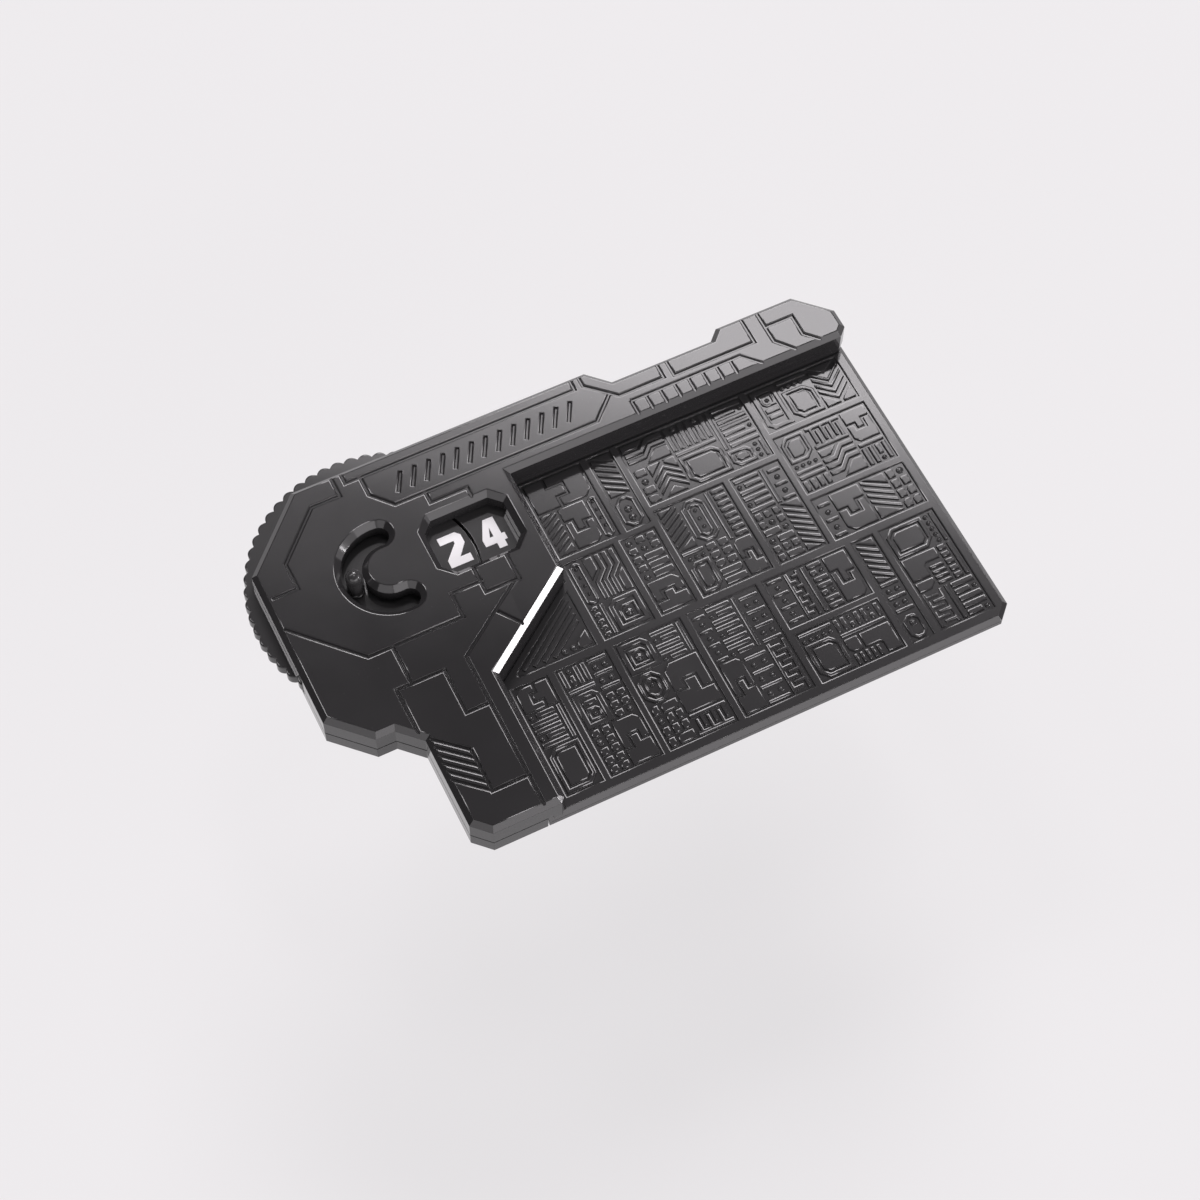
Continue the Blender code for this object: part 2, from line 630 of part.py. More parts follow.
def slot_plan(extra):
    """Return the C-shaped outline of the peg slot, wider by extra all round."""
    return arc_band(DIAL, PEG_ORBIT, SLOT_HALF_WIDTH + extra, PEG_REST_DEG - SLOT_SWEEP_DEG,
                    PEG_REST_DEG + SLOT_SWEEP_DEG, ROUND_RUNS // 2, CAP_RUNS)


def tens_spring_plan(extra):
    """Return the tens spring's outline, wider by extra all round."""
    return arc_band(DIAL, TENS_SPRING_ORBIT, SPRING_WIDTH / 2 + extra, TENS_SPRING_START_DEG,
                    TENS_SPRING_END_DEG, PIN_RUNS, CAP_RUNS)


def screw_seat_z():
    """Return the height of the seats that the screw heads pull against."""
    return SHELL_Z + SCREW_RECESS


def axle_screw_tip_z():
    """Return the height that the axle screw reaches in the top shell."""
    return DRUM_POCKET_Z + ROOF


def make_base_shell(material):
    """Base shell under the housing and foot, with the hub, the screw pads and the feet sockets."""
    plan = base_outline(-GAP / 2)
    shell = prism('base_shell', plan, SHELL_Z, SEAM_Z - GAP, material)

    wide_plan = base_outline(WALL + OVERRUN)
    hollow = prism('base_hollow', inset(wide_plan, WALL), FLOOR_TOP_Z, SEAM_Z + OVERRUN)
    combine(hollow, prism('hub', circle(DIAL, HUB_RADIUS, SMALL_ROUND_RUNS), SHELL_Z, HUB_TOP_Z))
    for i, place in enumerate(housing_screw_places()):
        combine(hollow, prism(f'screw_pad_{i}', circle(place, PAD_RADIUS, PIN_RUNS), SHELL_Z, TRAY_TOP_Z))
    combine(shell, hollow)

    room_low = WHEEL_Z - RUNNING_GAP
    runs = ROUND_RUNS
    outer, inner = circle(DIAL, WHEEL_RADIUS + RUNNING_GAP, runs), circle(DIAL, DISC_RADIUS, runs)
    room = mesh_object('rim_room', lambda bm: add_ring(bm, outer, inner, room_low, SEAM_Z + OVERRUN))
    combine(shell, room)

    cut_screw_seats(shell, 'base', housing_screw_places())
    cut_foot_sockets(shell, 'base', base_pad_places())
    combine(shell, prism('axle_socket', circle(DIAL, AXLE_RADIUS + GAP, SMALL_ROUND_RUNS),
                         AXLE_SEAT_Z, HUB_TOP_Z + OVERRUN))
    combine(shell, prism('axle_screw_way', circle(DIAL, SCREW_RADIUS + GAP, PIN_RUNS),
                         SHELL_Z - OVERRUN, AXLE_SEAT_Z + OVERRUN))
    combine(shell, prism('axle_screw_recess', circle(DIAL, SCREW_HEAD_RADIUS + GAP, PIN_RUNS),
                         SHELL_Z - OVERRUN, axle_screw_seat_z()))
    return shell


def axle_screw_seat_z():
    """Return the height of the seat under the axle screw's head."""
    return SHELL_Z + SCREW_HEAD_HEIGHT + GAP


def cut_screw_seats(shell, name, places):
    """Cut the ways and head recesses of the screws that come in from below."""
    for i, place in enumerate(places):
        way = prism(f'{name}_way_{i}', circle(place, SCREW_RADIUS + GAP, PIN_RUNS),
                    SHELL_Z - OVERRUN, SEAM_Z)
        recess = prism(f'{name}_recess_{i}', circle(place, SCREW_HEAD_RADIUS + GAP, PIN_RUNS),
                       SHELL_Z - OVERRUN, screw_seat_z())
        combine(combine(shell, way), recess)


def cut_foot_sockets(shell, name, places):
    """Cut the shallow sockets that hold the grip feet."""
    for i, place in enumerate(places):
        socket = prism(f'{name}_socket_{i}', circle(place, FOOT_PAD_RADIUS + GAP, SMALL_ROUND_RUNS),
                       SHELL_Z - OVERRUN, SHELL_Z + FOOT_PAD_SOCKET)
        combine(shell, socket)


def make_card_tray(material):
    """Card tray: a flat plate with chamfered open edges, which also closes the rail from below."""
    outline = tray_outline()
    open_edges = [TRAY_CHAMFER] * 3 + [0.0] * (len(outline) - 3)
    tray = loft('card_tray', [(outline, SHELL_Z), (outline, TRAY_TOP_Z - TRAY_CHAMFER),
                              (inset(outline, open_edges), TRAY_TOP_Z)], material)
    combine(tray, prism('tray_rebate', rebate_plan(), REBATE_Z, TRAY_TOP_Z + OVERRUN))
    cut_screw_seats(tray, 'tray', tray_screw_places())
    cut_foot_sockets(tray, 'tray', tray_pad_places())
    return tray


def lobed_circle(radius):
    """Return the ones wheel's rim: bulging lobes with narrow valleys, a point at each crest."""
    points = []
    for i in range(LOBE_COUNT * LOBE_RUNS):
        turn = i / LOBE_RUNS
        away = 2.0 * abs(turn - round(turn))
        angle = math.radians(360.0 * turn / LOBE_COUNT + LOBE_TURN_DEG)
        reach = radius - LOBE_DEPTH * away ** 2
        points.append((DIAL_X + reach * math.cos(angle), DIAL_Y + reach * math.sin(angle)))
    return points


def make_ones_wheel(material):
    """Ones wheel: a scalloped ring with a thin web that runs on the base shell's hub."""
    runs = LOBE_COUNT * LOBE_RUNS
    rim = [(lobed_circle(WHEEL_RADIUS), WHEEL_Z),
           (lobed_circle(WHEEL_RADIUS), WHEEL_TOP_Z - WHEEL_RIM_CHAMFER),
           (lobed_circle(WHEEL_RADIUS - WHEEL_RIM_CHAMFER), WHEEL_TOP_Z)]
    wheel = loft('ones_wheel', rim, material, smooth=True)
    well = prism('disc_well', circle(DIAL, DISC_RADIUS + GAP, runs // 2), WEB_TOP_Z, WHEEL_TOP_Z + OVERRUN)
    bore = prism('hub_bore', circle(DIAL, HUB_RADIUS + GAP, SMALL_ROUND_RUNS),
                 WHEEL_Z - OVERRUN, WHEEL_TOP_Z)
    combine(combine(wheel, well), bore)
    return wheel


def make_tens_disc(material):
    """Tens disc: it lies in the ones wheel's well and carries the thumb peg."""
    disc = prism('tens_disc', circle(DIAL, DISC_RADIUS, LOBE_COUNT * LOBE_RUNS // 2), DISC_Z,
                 WHEEL_TOP_Z, material, smooth=True)
    combine(disc, prism('axle_bore', circle(DIAL, AXLE_RADIUS + GAP, SMALL_ROUND_RUNS),
                        DISC_Z - OVERRUN, WHEEL_TOP_Z + OVERRUN))
    combine(disc, prism('peg_hole', circle(peg_place(), PEG_STEM_RADIUS + GAP, PIN_RUNS),
                        DISC_Z - OVERRUN, WHEEL_TOP_Z + OVERRUN))
    return disc


def peg_place():
    """Return the peg's centre in plan, at rest."""
    angle = math.radians(PEG_REST_DEG)
    return (DIAL_X + PEG_ORBIT * math.cos(angle), DIAL_Y + PEG_ORBIT * math.sin(angle))


def make_thumb_peg(material):
    """Thumb peg: a stem in the tens disc, a thin collar, a round post and a domed head."""
    seat = WHEEL_TOP_Z + GAP
    profile = [(PEG_STEM_RADIUS, WHEEL_TOP_Z - PEG_STEM_LENGTH), (PEG_STEM_RADIUS, seat),
               (PEG_RADIUS + PEG_COLLAR, seat), (PEG_RADIUS + PEG_COLLAR, seat + PEG_COLLAR_HEIGHT),
               (PEG_RADIUS, seat + PEG_COLLAR_HEIGHT)]
    for i in range(DOME_RINGS):
        angle = math.radians(90.0 * i / DOME_RINGS)
        profile.append((PEG_RADIUS * math.cos(angle), PEG_DOME_Z + PEG_RADIUS * math.sin(angle)))
    rings = [(circle(peg_place(), radius, PIN_RUNS), z) for radius, z in profile]

    def fill(bm):
        add_loft(bm, rings[:-1] + [rings[-1]])
        cap = max(bm.faces, key=lambda face: face.calc_center_median().z)
        apex = bmesh.ops.poke(bm, faces=[cap])['verts'][0]
        apex.co.z = PEG_DOME_Z + PEG_RADIUS

    return mesh_object('thumb_peg', fill, material, smooth=True)


def make_dial_axle(material):
    """Dial axle: a tube that the tens disc turns on, with a groove for its clip."""
    runs = SMALL_ROUND_RUNS
    neck = AXLE_RADIUS - AXLE_GROOVE_DEPTH
    low, high = CLIP_Z - GAP / 2, CLIP_Z + CLIP_THICKNESS + GAP
    profile = [(AXLE_RADIUS, AXLE_SEAT_Z + GAP), (AXLE_RADIUS, low), (neck, low), (neck, high),
               (AXLE_RADIUS, high), (AXLE_RADIUS, AXLE_TOP_Z)]
    axle = loft('dial_axle', [(circle(DIAL, r, runs), z) for r, z in profile], material, smooth=True)
    combine(axle, prism('axle_way', circle(DIAL, SCREW_RADIUS + GAP, PIN_RUNS),
                        SHELL_Z, AXLE_TOP_Z + OVERRUN))
    return axle


def ring_object(name, outer, inner, z_low, z_high, material):
    """Make a flat round ring about the dial's axis."""
    runs = SMALL_ROUND_RUNS
    rings = circle(DIAL, outer, runs), circle(DIAL, inner, runs)
    return mesh_object(name, lambda bm: add_ring(bm, *rings, z_low, z_high), material, smooth=True)


def make_washers(material):
    """Two thin washers: under the ones wheel, and between it and the tens disc."""
    under = (FLOOR_TOP_Z + WHEEL_Z - WASHER_THICKNESS) / 2
    between_discs = (WEB_TOP_Z + DISC_Z - WASHER_THICKNESS) / 2
    for name, z in (('wheel_washer', under), ('disc_washer', between_discs)):
        ring_object(name, WASHER_OUTER_RADIUS, WASHER_INNER_RADIUS, z, z + WASHER_THICKNESS, material)


def make_retaining_clip(material):
    """Retaining clip: an open ring snapped into the axle's groove over the tens disc."""
    inner = AXLE_RADIUS - AXLE_GROOVE_DEPTH + GAP
    half = CLIP_MOUTH_DEG / 2
    outline = (circle(DIAL, CLIP_RADIUS, PIN_RUNS, half, 360.0 - half)
               + circle(DIAL, inner, PIN_RUNS, 360.0 - half, half))
    return prism('retaining_clip', outline, CLIP_Z, CLIP_Z + CLIP_THICKNESS, material)


def spring_object(name, plan, orbit, angle_deg, z, up, material):
    """Make a flat leaf spring with one round nub that clicks against its disc."""
    spring = prism(name, plan, z, z + SPRING_THICKNESS, material)
    angle = math.radians(angle_deg)
    place = (DIAL_X + orbit * math.cos(angle), DIAL_Y + orbit * math.sin(angle))
    low, high = (z, z + SPRING_THICKNESS + SPRING_NUB_HEIGHT)
    if not up:
        low, high = (z - SPRING_NUB_HEIGHT, z + SPRING_THICKNESS)
    nub = prism(f'{name}_nub', circle(place, SPRING_NUB_RADIUS, PIN_RUNS), low, high)
    return combine(spring, nub, 'UNION')


def make_click_springs(material):
    """Two leaf springs: one under the ones wheel, one over the tens disc."""
    ones_plan = arc_band(DIAL, ONES_SPRING_ORBIT, SPRING_WIDTH / 2, ONES_SPRING_START_DEG,
                         ONES_SPRING_END_DEG, PIN_RUNS, CAP_RUNS)
    ones_angle = (ONES_SPRING_START_DEG + ONES_SPRING_END_DEG) / 2
    spring_object('ones_click_spring', ones_plan, ONES_SPRING_ORBIT, ones_angle,
                  FLOOR_TOP_Z + GAP / 2, True, material)
    tens_angle = (TENS_SPRING_START_DEG + TENS_SPRING_END_DEG) / 2
    spring_object('tens_click_spring', tens_spring_plan(0.0), TENS_SPRING_ORBIT, tens_angle,
                  DRUM_Z + TENS_SPRING_LIFT, False, material)


def screw_mesh(name, z_low, seat, tip, material):
    """Return the mesh of a pan-head screw that points up, with a round drive recess in its head."""
    profile = [(SCREW_DRIVE_RADIUS, z_low + SCREW_DRIVE_DEPTH), (SCREW_DRIVE_RADIUS, z_low),
               (SCREW_HEAD_RADIUS, z_low), (SCREW_HEAD_RADIUS, seat), (SCREW_RADIUS, seat),
               (SCREW_RADIUS, tip - SCREW_RADIUS), (SCREW_RADIUS / 2, tip)]
    return solid_mesh(name, [(circle((0.0, 0.0), radius, PIN_RUNS), z) for radius, z in profile], material)


def make_screws(material):
    """Screws that come in from below: three in the base, three in the tray, one in the axle."""
    seat = screw_seat_z() - GAP
    mesh = screw_mesh('shell_screw', seat - SCREW_HEAD_HEIGHT, seat, seat + SCREW_LENGTH, material)
    place_copies('housing_screw', mesh, housing_screw_places())
    place_copies('tray_screw', mesh, tray_screw_places())
    seat = axle_screw_seat_z() - GAP
    mesh = screw_mesh('axle_screw', seat - SCREW_HEAD_HEIGHT, seat, axle_screw_tip_z(), material)
    place_copies('axle_screw', mesh, [DIAL.xy])


def make_grip_feet(material):
    """Soft round feet, each in its own socket in the base shell or the tray."""
    plan = circle((0.0, 0.0), FOOT_PAD_RADIUS, SMALL_ROUND_RUNS)
    mesh = solid_mesh('grip_foot', [(plan, 0.0), (plan, SHELL_Z + FOOT_PAD_SOCKET - GAP)], material)
    place_copies('grip_foot', mesh, base_pad_places() + tray_pad_places())


def move_to_origin(turning):
    """Shift the part to its origin, and put the turning pieces' own origins on the dial's axis."""
    for obj in bpy.data.objects:
        if obj.name in turning:
            obj.data.transform(Matrix.Translation(-DIAL))
            obj.location = DIAL
        obj.location -= ORIGIN


def main():
    """Build the pad, piece by piece."""
    for obj in list(bpy.data.objects):
        bpy.data.objects.remove(obj, do_unlink=True)

    shell_black = plastic('shell_black', (0.022, 0.021, 0.022), 0.3)
    tray_black = plastic('tray_black', (0.02, 0.019, 0.02), 0.24)
    dial_black = plastic('dial_black', (0.018, 0.018, 0.019), 0.3)
    axle_white = plastic('axle_nylon', (0.7, 0.69, 0.66), 0.5)
    washer_grey = plastic('washer_nylon', (0.35, 0.35, 0.36), 0.5)
    spring_steel = plastic('spring_steel', (0.5, 0.5, 0.52), 0.3, 1.0)
    screw_steel = plastic('screw_steel', (0.24, 0.24, 0.25), 0.35, 1.0)
    foot_rubber = plastic('foot_rubber', (0.03, 0.03, 0.03), 0.8)

    make_base_shell(shell_black)
    make_card_tray(tray_black)
    make_top_shell(shell_black)
    make_ones_wheel(dial_black)
    make_tens_disc(dial_black)
    make_thumb_peg(dial_black)
    make_dial_axle(axle_white)
    make_washers(washer_grey)
    make_retaining_clip(spring_steel)
    make_click_springs(spring_steel)
    make_screws(screw_steel)
    make_grip_feet(foot_rubber)
    move_to_origin(('ones_wheel', 'tens_disc', 'thumb_peg'))


main()
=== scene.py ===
"""Damage counter pad, dressed: moulded shells, a card tray in relief, two numbered dials and a studio.

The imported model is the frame. Lengths here are in millimetres, in the frame's own axes, and
become metres when a mesh is made. A plan is a closed outline of points seen from above,
counter-clockwise, and a surface is made of rings of points that are joined to their neighbours.
"""

import functools
import logging
import math
from dataclasses import dataclass, field
from typing import Any, Callable, Iterator, Sequence

import bmesh
import bpy
import numpy as np
from bpy.types import Material, Mesh, Node, NodeSocket, NodeTree, Object
from mathutils import Matrix, Vector
from mathutils.geometry import tessellate_polygon


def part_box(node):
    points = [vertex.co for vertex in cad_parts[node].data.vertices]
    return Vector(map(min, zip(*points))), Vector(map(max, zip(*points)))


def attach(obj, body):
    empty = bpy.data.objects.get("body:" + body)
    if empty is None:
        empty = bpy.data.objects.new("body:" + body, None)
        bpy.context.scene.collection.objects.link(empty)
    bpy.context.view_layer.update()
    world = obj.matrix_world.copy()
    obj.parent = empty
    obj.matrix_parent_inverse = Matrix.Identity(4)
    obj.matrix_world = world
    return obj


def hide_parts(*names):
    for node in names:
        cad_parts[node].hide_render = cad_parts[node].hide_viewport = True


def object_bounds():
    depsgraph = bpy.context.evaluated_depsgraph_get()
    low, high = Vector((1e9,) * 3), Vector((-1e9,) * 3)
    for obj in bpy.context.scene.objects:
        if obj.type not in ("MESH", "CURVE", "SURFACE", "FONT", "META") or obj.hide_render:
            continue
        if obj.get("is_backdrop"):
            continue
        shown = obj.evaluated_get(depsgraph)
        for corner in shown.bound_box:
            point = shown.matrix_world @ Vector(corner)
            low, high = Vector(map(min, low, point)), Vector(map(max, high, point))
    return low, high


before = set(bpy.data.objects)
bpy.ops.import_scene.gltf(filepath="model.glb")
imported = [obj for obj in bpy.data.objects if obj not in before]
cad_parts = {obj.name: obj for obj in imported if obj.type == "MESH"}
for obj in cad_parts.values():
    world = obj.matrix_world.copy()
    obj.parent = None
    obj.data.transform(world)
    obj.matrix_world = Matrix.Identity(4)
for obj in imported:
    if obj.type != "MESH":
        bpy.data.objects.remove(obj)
CAD_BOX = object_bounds()
LOG = logging.getLogger("pad")

Plan = np.ndarray
Pairs = Sequence[tuple[float, float]]
Triple = tuple[float, float, float]

MM = 0.001
HOUSING = "housing"
ONES_DIAL = "ones_dial"
TENS_DIAL = "tens_dial"
DIAL_AXIS = np.array((-46.55, 18.5))
PLAN_ORIGIN = np.array((76.55, 53.1))
TRAY_TOP = 3.14
WHEEL_TOP = 5.8
WELD = 0.002            # points closer than this become one
SAME_LEVEL = 0.01       # heights closer than this are one level
UPRIGHT = 0.9995        # least upright part of a level face's normal
STEEP = 0.9             # most upright part of a steep face's normal
FLAT_DEG = 0.4          # facets that meet at less become one face
BEVEL_RUNS, BEVEL_BULGE = 4, 0.68


# Shapes

@dataclass
class Surface:
    """A mesh in the making.

    Args:
        points: an array of places in millimetres, one row each.
        faces: arrays of indices into points, each with faces of one length.
    """

    points: np.ndarray
    faces: list[np.ndarray]


def joined(parts: Sequence[Surface]) -> Surface:
    """Join surfaces into one, each keeping its own points.

    Args:
        parts: the surfaces.

    Returns:
        One surface that holds them all.
    """
    starts = np.cumsum([0] + [len(part.points) for part in parts[:-1]])
    faces = [block + start for part, start in zip(parts, starts) for block in part.faces]
    return Surface(np.vstack([part.points for part in parts]), faces)


def ring_stack(rings: Sequence[np.ndarray], closed: bool = False) -> Surface:
    """Join rings of points into a closed skin.

    Point j of ring i meets points j and j + 1 of ring i + 1. The first and last ring are
    capped with one face each, or meet each other, as on a ring with a hole through it.

    Args:
        rings: rings with as many points each, counter-clockwise seen from above, from the
            bottom outwards and up.
        closed: whether the last ring meets the first.

    Returns:
        The skin, with its faces outwards.
    """
    grid = np.array(rings)
    count, around = grid.shape[:2]
    index = np.arange(count * around).reshape(count, around)
    low = index if closed else index[:-1]
    high = np.roll(index, -1, 0) if closed else index[1:]
    quads = np.stack((low, np.roll(low, -1, 1), np.roll(high, -1, 1), high), -1).reshape(-1, 4)
    caps = [] if closed else [index[:1, ::-1], index[-1:]]
    return Surface(grid.reshape(-1, 3), [quads] + caps)


def raised(plan: Plan, z: float | np.ndarray) -> np.ndarray:
    """Return a plan's points in space, at one height or at one each."""
    return np.column_stack((plan, np.broadcast_to(z, len(plan))))


def side_normals(line: Plan) -> np.ndarray:
    """Return the unit normal to the left of each side of a line of points."""
    side = np.diff(line, axis=0)
    side /= np.linalg.norm(side, axis=1, keepdims=True)
    return np.column_stack((-side[:, 1], side[:, 0]))


def mitre(reach: float, before: np.ndarray, after: np.ndarray) -> np.ndarray:
    """Return each corner's move: a reach times the sum of its sides' normals, over 1 plus their product."""
    return reach * (before + after) / (1.0 + (before * after).sum(1, keepdims=True))


def moved_in(plan: Plan, distance: float) -> Plan:
    """Return a plan with every side moved in by a distance and its corners sharp; below zero is out."""
    normal = side_normals(np.vstack((plan, plan[:1])))
    return plan + mitre(distance, np.roll(normal, 1, 0), normal)


def strip(path: Sequence[Sequence[float]], width: float) -> Plan:
    """Give a bent line a width, with mitred bends.

    Args:
        path: the line's points in plan.
        width: its width.

    Returns:
        The plan of the strip.
    """
    line = np.asarray(path, float)
    normal = side_normals(line)
    ends = np.vstack((normal[:1], normal)), np.vstack((normal, normal[-1:]))
    half = mitre(1.0, *ends) * width / 2
    return np.vstack((line - half, (line + half)[::-1]))


def circle(radius: float, count: int, centre: Sequence[float] = (0.0, 0.0)) -> Plan:
    """Return the plan of a circle: radius times the cosine and sine of even angles."""
    angle = np.arange(count) * 2 * np.pi / count
    return np.column_stack((np.cos(angle), np.sin(angle))) * radius + np.asarray(centre)


def box_plan(x0: float, y0: float, x1: float, y1: float, cut: float = 0.0) -> Plan:
    """Return the plan of a rectangle whose upper right corner may be cut off."""
    corner = [(x1, y1 - cut), (x1 - cut, y1)] if cut else [(x1, y1)]
    return np.array([(x0, y0), (x1, y0)] + corner + [(x0, y1)])


def anticlockwise(plan: Plan) -> Plan:
    """Return a plan whose points run counter-clockwise, judged by its signed area."""
    x, y = plan.T
    return plan if (x * np.roll(y, -1) - np.roll(x, -1) * y).sum() > 0 else plan[::-1]


def turned(profile: Pairs, around: int, centre: Sequence[float], closed: bool = False) -> Surface:
    """Return a profile of radii and heights turned about an upright axis, with so many points round it."""
    return ring_stack([raised(circle(radius, around, centre), z) for radius, z in profile], closed)


def rounded(profile: Pairs, radii: Sequence[float], runs: int) -> Pairs:
    """Round the corners of a closed profile with quadratic curves, from one side to the next.

    Args:
        profile: the corners.
        radii: how much of each side a corner's curve takes.
        runs: how many runs a curve has.

    Returns:
        The rounded profile.
    """
    corners = np.asarray(profile, float)
    share = np.linspace(0.0, 1.0, runs + 1)[:, None]
    out: list[tuple[float, float]] = []
    for i, radius in enumerate(radii):
        here, last, after = corners[i], corners[i - 1], corners[(i + 1) % len(corners)]
        start, end = (here + (other - here) / np.linalg.norm(other - here) * radius
                      for other in (last, after))
        curve = start * (1 - share) ** 2 + here * 2 * share * (1 - share) + end * share ** 2
        out.extend(map(tuple, curve))
    return out


# Objects

def box_mm(node: str) -> tuple[np.ndarray, np.ndarray]:
    """Return the lowest and the highest corner of a CAD node's box, in millimetres."""
    low, high = (np.array(corner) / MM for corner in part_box(node))
    return low, high


def linked(name: str, mesh: Mesh, material: Material) -> Object:
    """Put a mesh into a new object of the scene.

    Args:
        name: the object's name.
        mesh: the mesh.
        material: its only material.

    Returns:
        The object.
    """
    mesh.materials.clear()
    mesh.materials.append(material)
    obj = bpy.data.objects.new(name, mesh)
    bpy.context.scene.collection.objects.link(obj)
    return obj


def new_object(name: str, surface: Surface, material: Material) -> Object:
    """Put a surface into a new object of the scene.

    Args:
        name: the object's name.
        surface: its shape in millimetres.
        material: its material.

    Returns:
        The object, smooth-shaded.
    """
    mesh = bpy.data.meshes.new(name)
    faces = [face for block in surface.faces for face in block.tolist()]
    mesh.from_pydata((surface.points * MM).tolist(), [], faces)
    mesh.validate()
    obj = linked(name, mesh, material)
    shade(obj)
    return obj


def shade(obj: Object, sharp_deg: float = 34.0) -> None:
    """Shade an object smooth, with edges above an angle sharp and level faces flat.

    An edge is also sharp where just one of its faces is level, so that the fall beside it
    keeps one tilt and shows as an even line.

    Args:
        obj: the object.
        sharp_deg: the angle.
    """
    mesh = obj.data
    mesh.shade_smooth()
    mesh.set_sharp_from_angle(angle=math.radians(sharp_deg))
    normals = np.empty(3 * len(mesh.polygons), np.float32)
    corners, edges = np.empty(len(mesh.polygons), np.int32), np.empty(len(mesh.loops), np.int32)
    mesh.polygons.foreach_get("normal", normals)
    mesh.polygons.foreach_get("loop_total", corners)
    mesh.loops.foreach_get("edge_index", edges)
    level = np.abs(normals[2::3]) > UPRIGHT
    mesh.polygons.foreach_set("use_smooth", ~level)
    border = np.bincount(edges, np.repeat(level, corners), len(mesh.edges)) == 1
    sharp = np.empty(len(mesh.edges), bool)
    mesh.edges.foreach_get("use_edge_sharp", sharp)
    mesh.edges.foreach_set("use_edge_sharp", sharp | border)
    obj.modifiers.new("Flat faces", "WEIGHTED_NORMAL").keep_sharp = True


def bake(obj: Object) -> None:
    """Turn an object's modifiers into its own mesh."""
    graph = bpy.context.evaluated_depsgraph_get()
    mesh = bpy.data.meshes.new_from_object(obj.evaluated_get(graph))
    obj.modifiers.clear()
    obj.data = mesh


def ease(body: bmesh.types.BMesh, height: float, reach: float, drop: float) -> None:
    """Let a level face fall away a little along its borders, as a moulded face does.

    Args:
        body: the mesh.
        height: how high the face lies.
        reach: how wide the falling border is.
        drop: how far it falls.
    """
    near = SAME_LEVEL * MM
    faces = [face for face in body.faces if face.normal.z > UPRIGHT
             and abs(face.calc_center_median().z - height * MM) < near]
    faces = bmesh.ops.triangulate(body, faces=faces)["faces"]
    bmesh.ops.inset_region(body, faces=faces, thickness=reach * MM, use_boundary=True,
                           use_even_offset=True)
    border = [vert for vert in body.verts if abs(vert.co.z - height * MM) < near
              and any(face.normal.z < STEEP for face in vert.link_faces)]
    bmesh.ops.translate(body, vec=(0.0, 0.0, -drop * MM), verts=border)


def mark_edges(body: bmesh.types.BMesh, least_deg: float, slot_reach: float,
               bend_deg: float = 60.0, least_climb: float = 0.1) -> None:
    """Give each edge that is to be rounded a bevel weight of one.

    These are the edges above an angle, but not the bends between two facets of the peg slot's
    curved walls, which are steep edges near the dial's axis with no level face beside them.

    Args:
        body: the mesh.
        least_deg: the angle.
        slot_reach: how far the slot reaches from the dial's axis.
        bend_deg: the most that such a bend turns.
        least_climb: the least height between its ends.
    """
    weight = body.edges.layers.float.new("bevel_weight_edge")
    for edge in body.edges:
        angle = edge.calc_face_angle(0.0)
        first, last = (np.array(vert.co) / MM for vert in edge.verts)
        away = np.linalg.norm((first + last)[:2] / 2 - DIAL_AXIS)
        climbs = abs(first[2] - last[2]) > least_climb
        bend = (away < slot_reach and climbs and angle < math.radians(bend_deg)
                and all(abs(face.normal.z) < STEEP for face in edge.link_faces))
        edge[weight] = float(angle > math.radians(least_deg) and not bend)


def softened(node: str, name: str, edge: float, material: Material,
             lip: Triple | None = None) -> Object:
    """Copy a CAD node, join its loose triangles into flat faces and round its edges.

    Args:
        node: the CAD node.
        name: the copy's name.
        edge: the width of the rounding.
        material: the copy's material.
        lip: the height of a face whose borders fall away, their width and their drop.

    Returns:
        The copy, with its rounding in its mesh.
    """
    body = bmesh.new()
    body.from_mesh(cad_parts[node].data)
    bmesh.ops.remove_doubles(body, verts=body.verts, dist=WELD * MM)
    bmesh.ops.dissolve_limit(body, angle_limit=math.radians(FLAT_DEG), verts=body.verts,
                             edges=body.edges)
    if lip:
        ease(body, *lip)
    mark_edges(body, least_deg=30.0, slot_reach=14.0)
    mesh = bpy.data.meshes.new(name)
    body.to_mesh(mesh)
    body.free()
    obj = linked(name, mesh, material)
    mesh.shade_smooth()
    bevel = obj.modifiers.new("Soft edges", "BEVEL")
    bevel.width, bevel.segments, bevel.profile = edge * MM, BEVEL_RUNS, BEVEL_BULGE
    bevel.limit_method = "WEIGHT"
    bevel.use_clamp_overlap = False
    bake(obj)
    shade(obj, sharp_deg=44.0)
    return obj


def carry(obj: Object, body: str, slot: str, *nodes: str) -> None:
    """Make an object ride on a CAD body and stand for CAD nodes.

    Args:
        obj: the object.
        body: the CAD body.
        slot: not used.
        nodes: the CAD nodes that it stands for.
    """
    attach(obj, body)
    if nodes:
        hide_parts(*nodes)
    LOG.info("%s on %s: %d faces", obj.name, body, len(obj.data.polygons))


def stand_in(node: str, surface: Surface, material: Material, body: str, slot: str) -> None:
    """Put a surface in a CAD node's place, on the node's body."""
    carry(new_object(node + "_body", surface, material), body, slot, node)


# Finishes

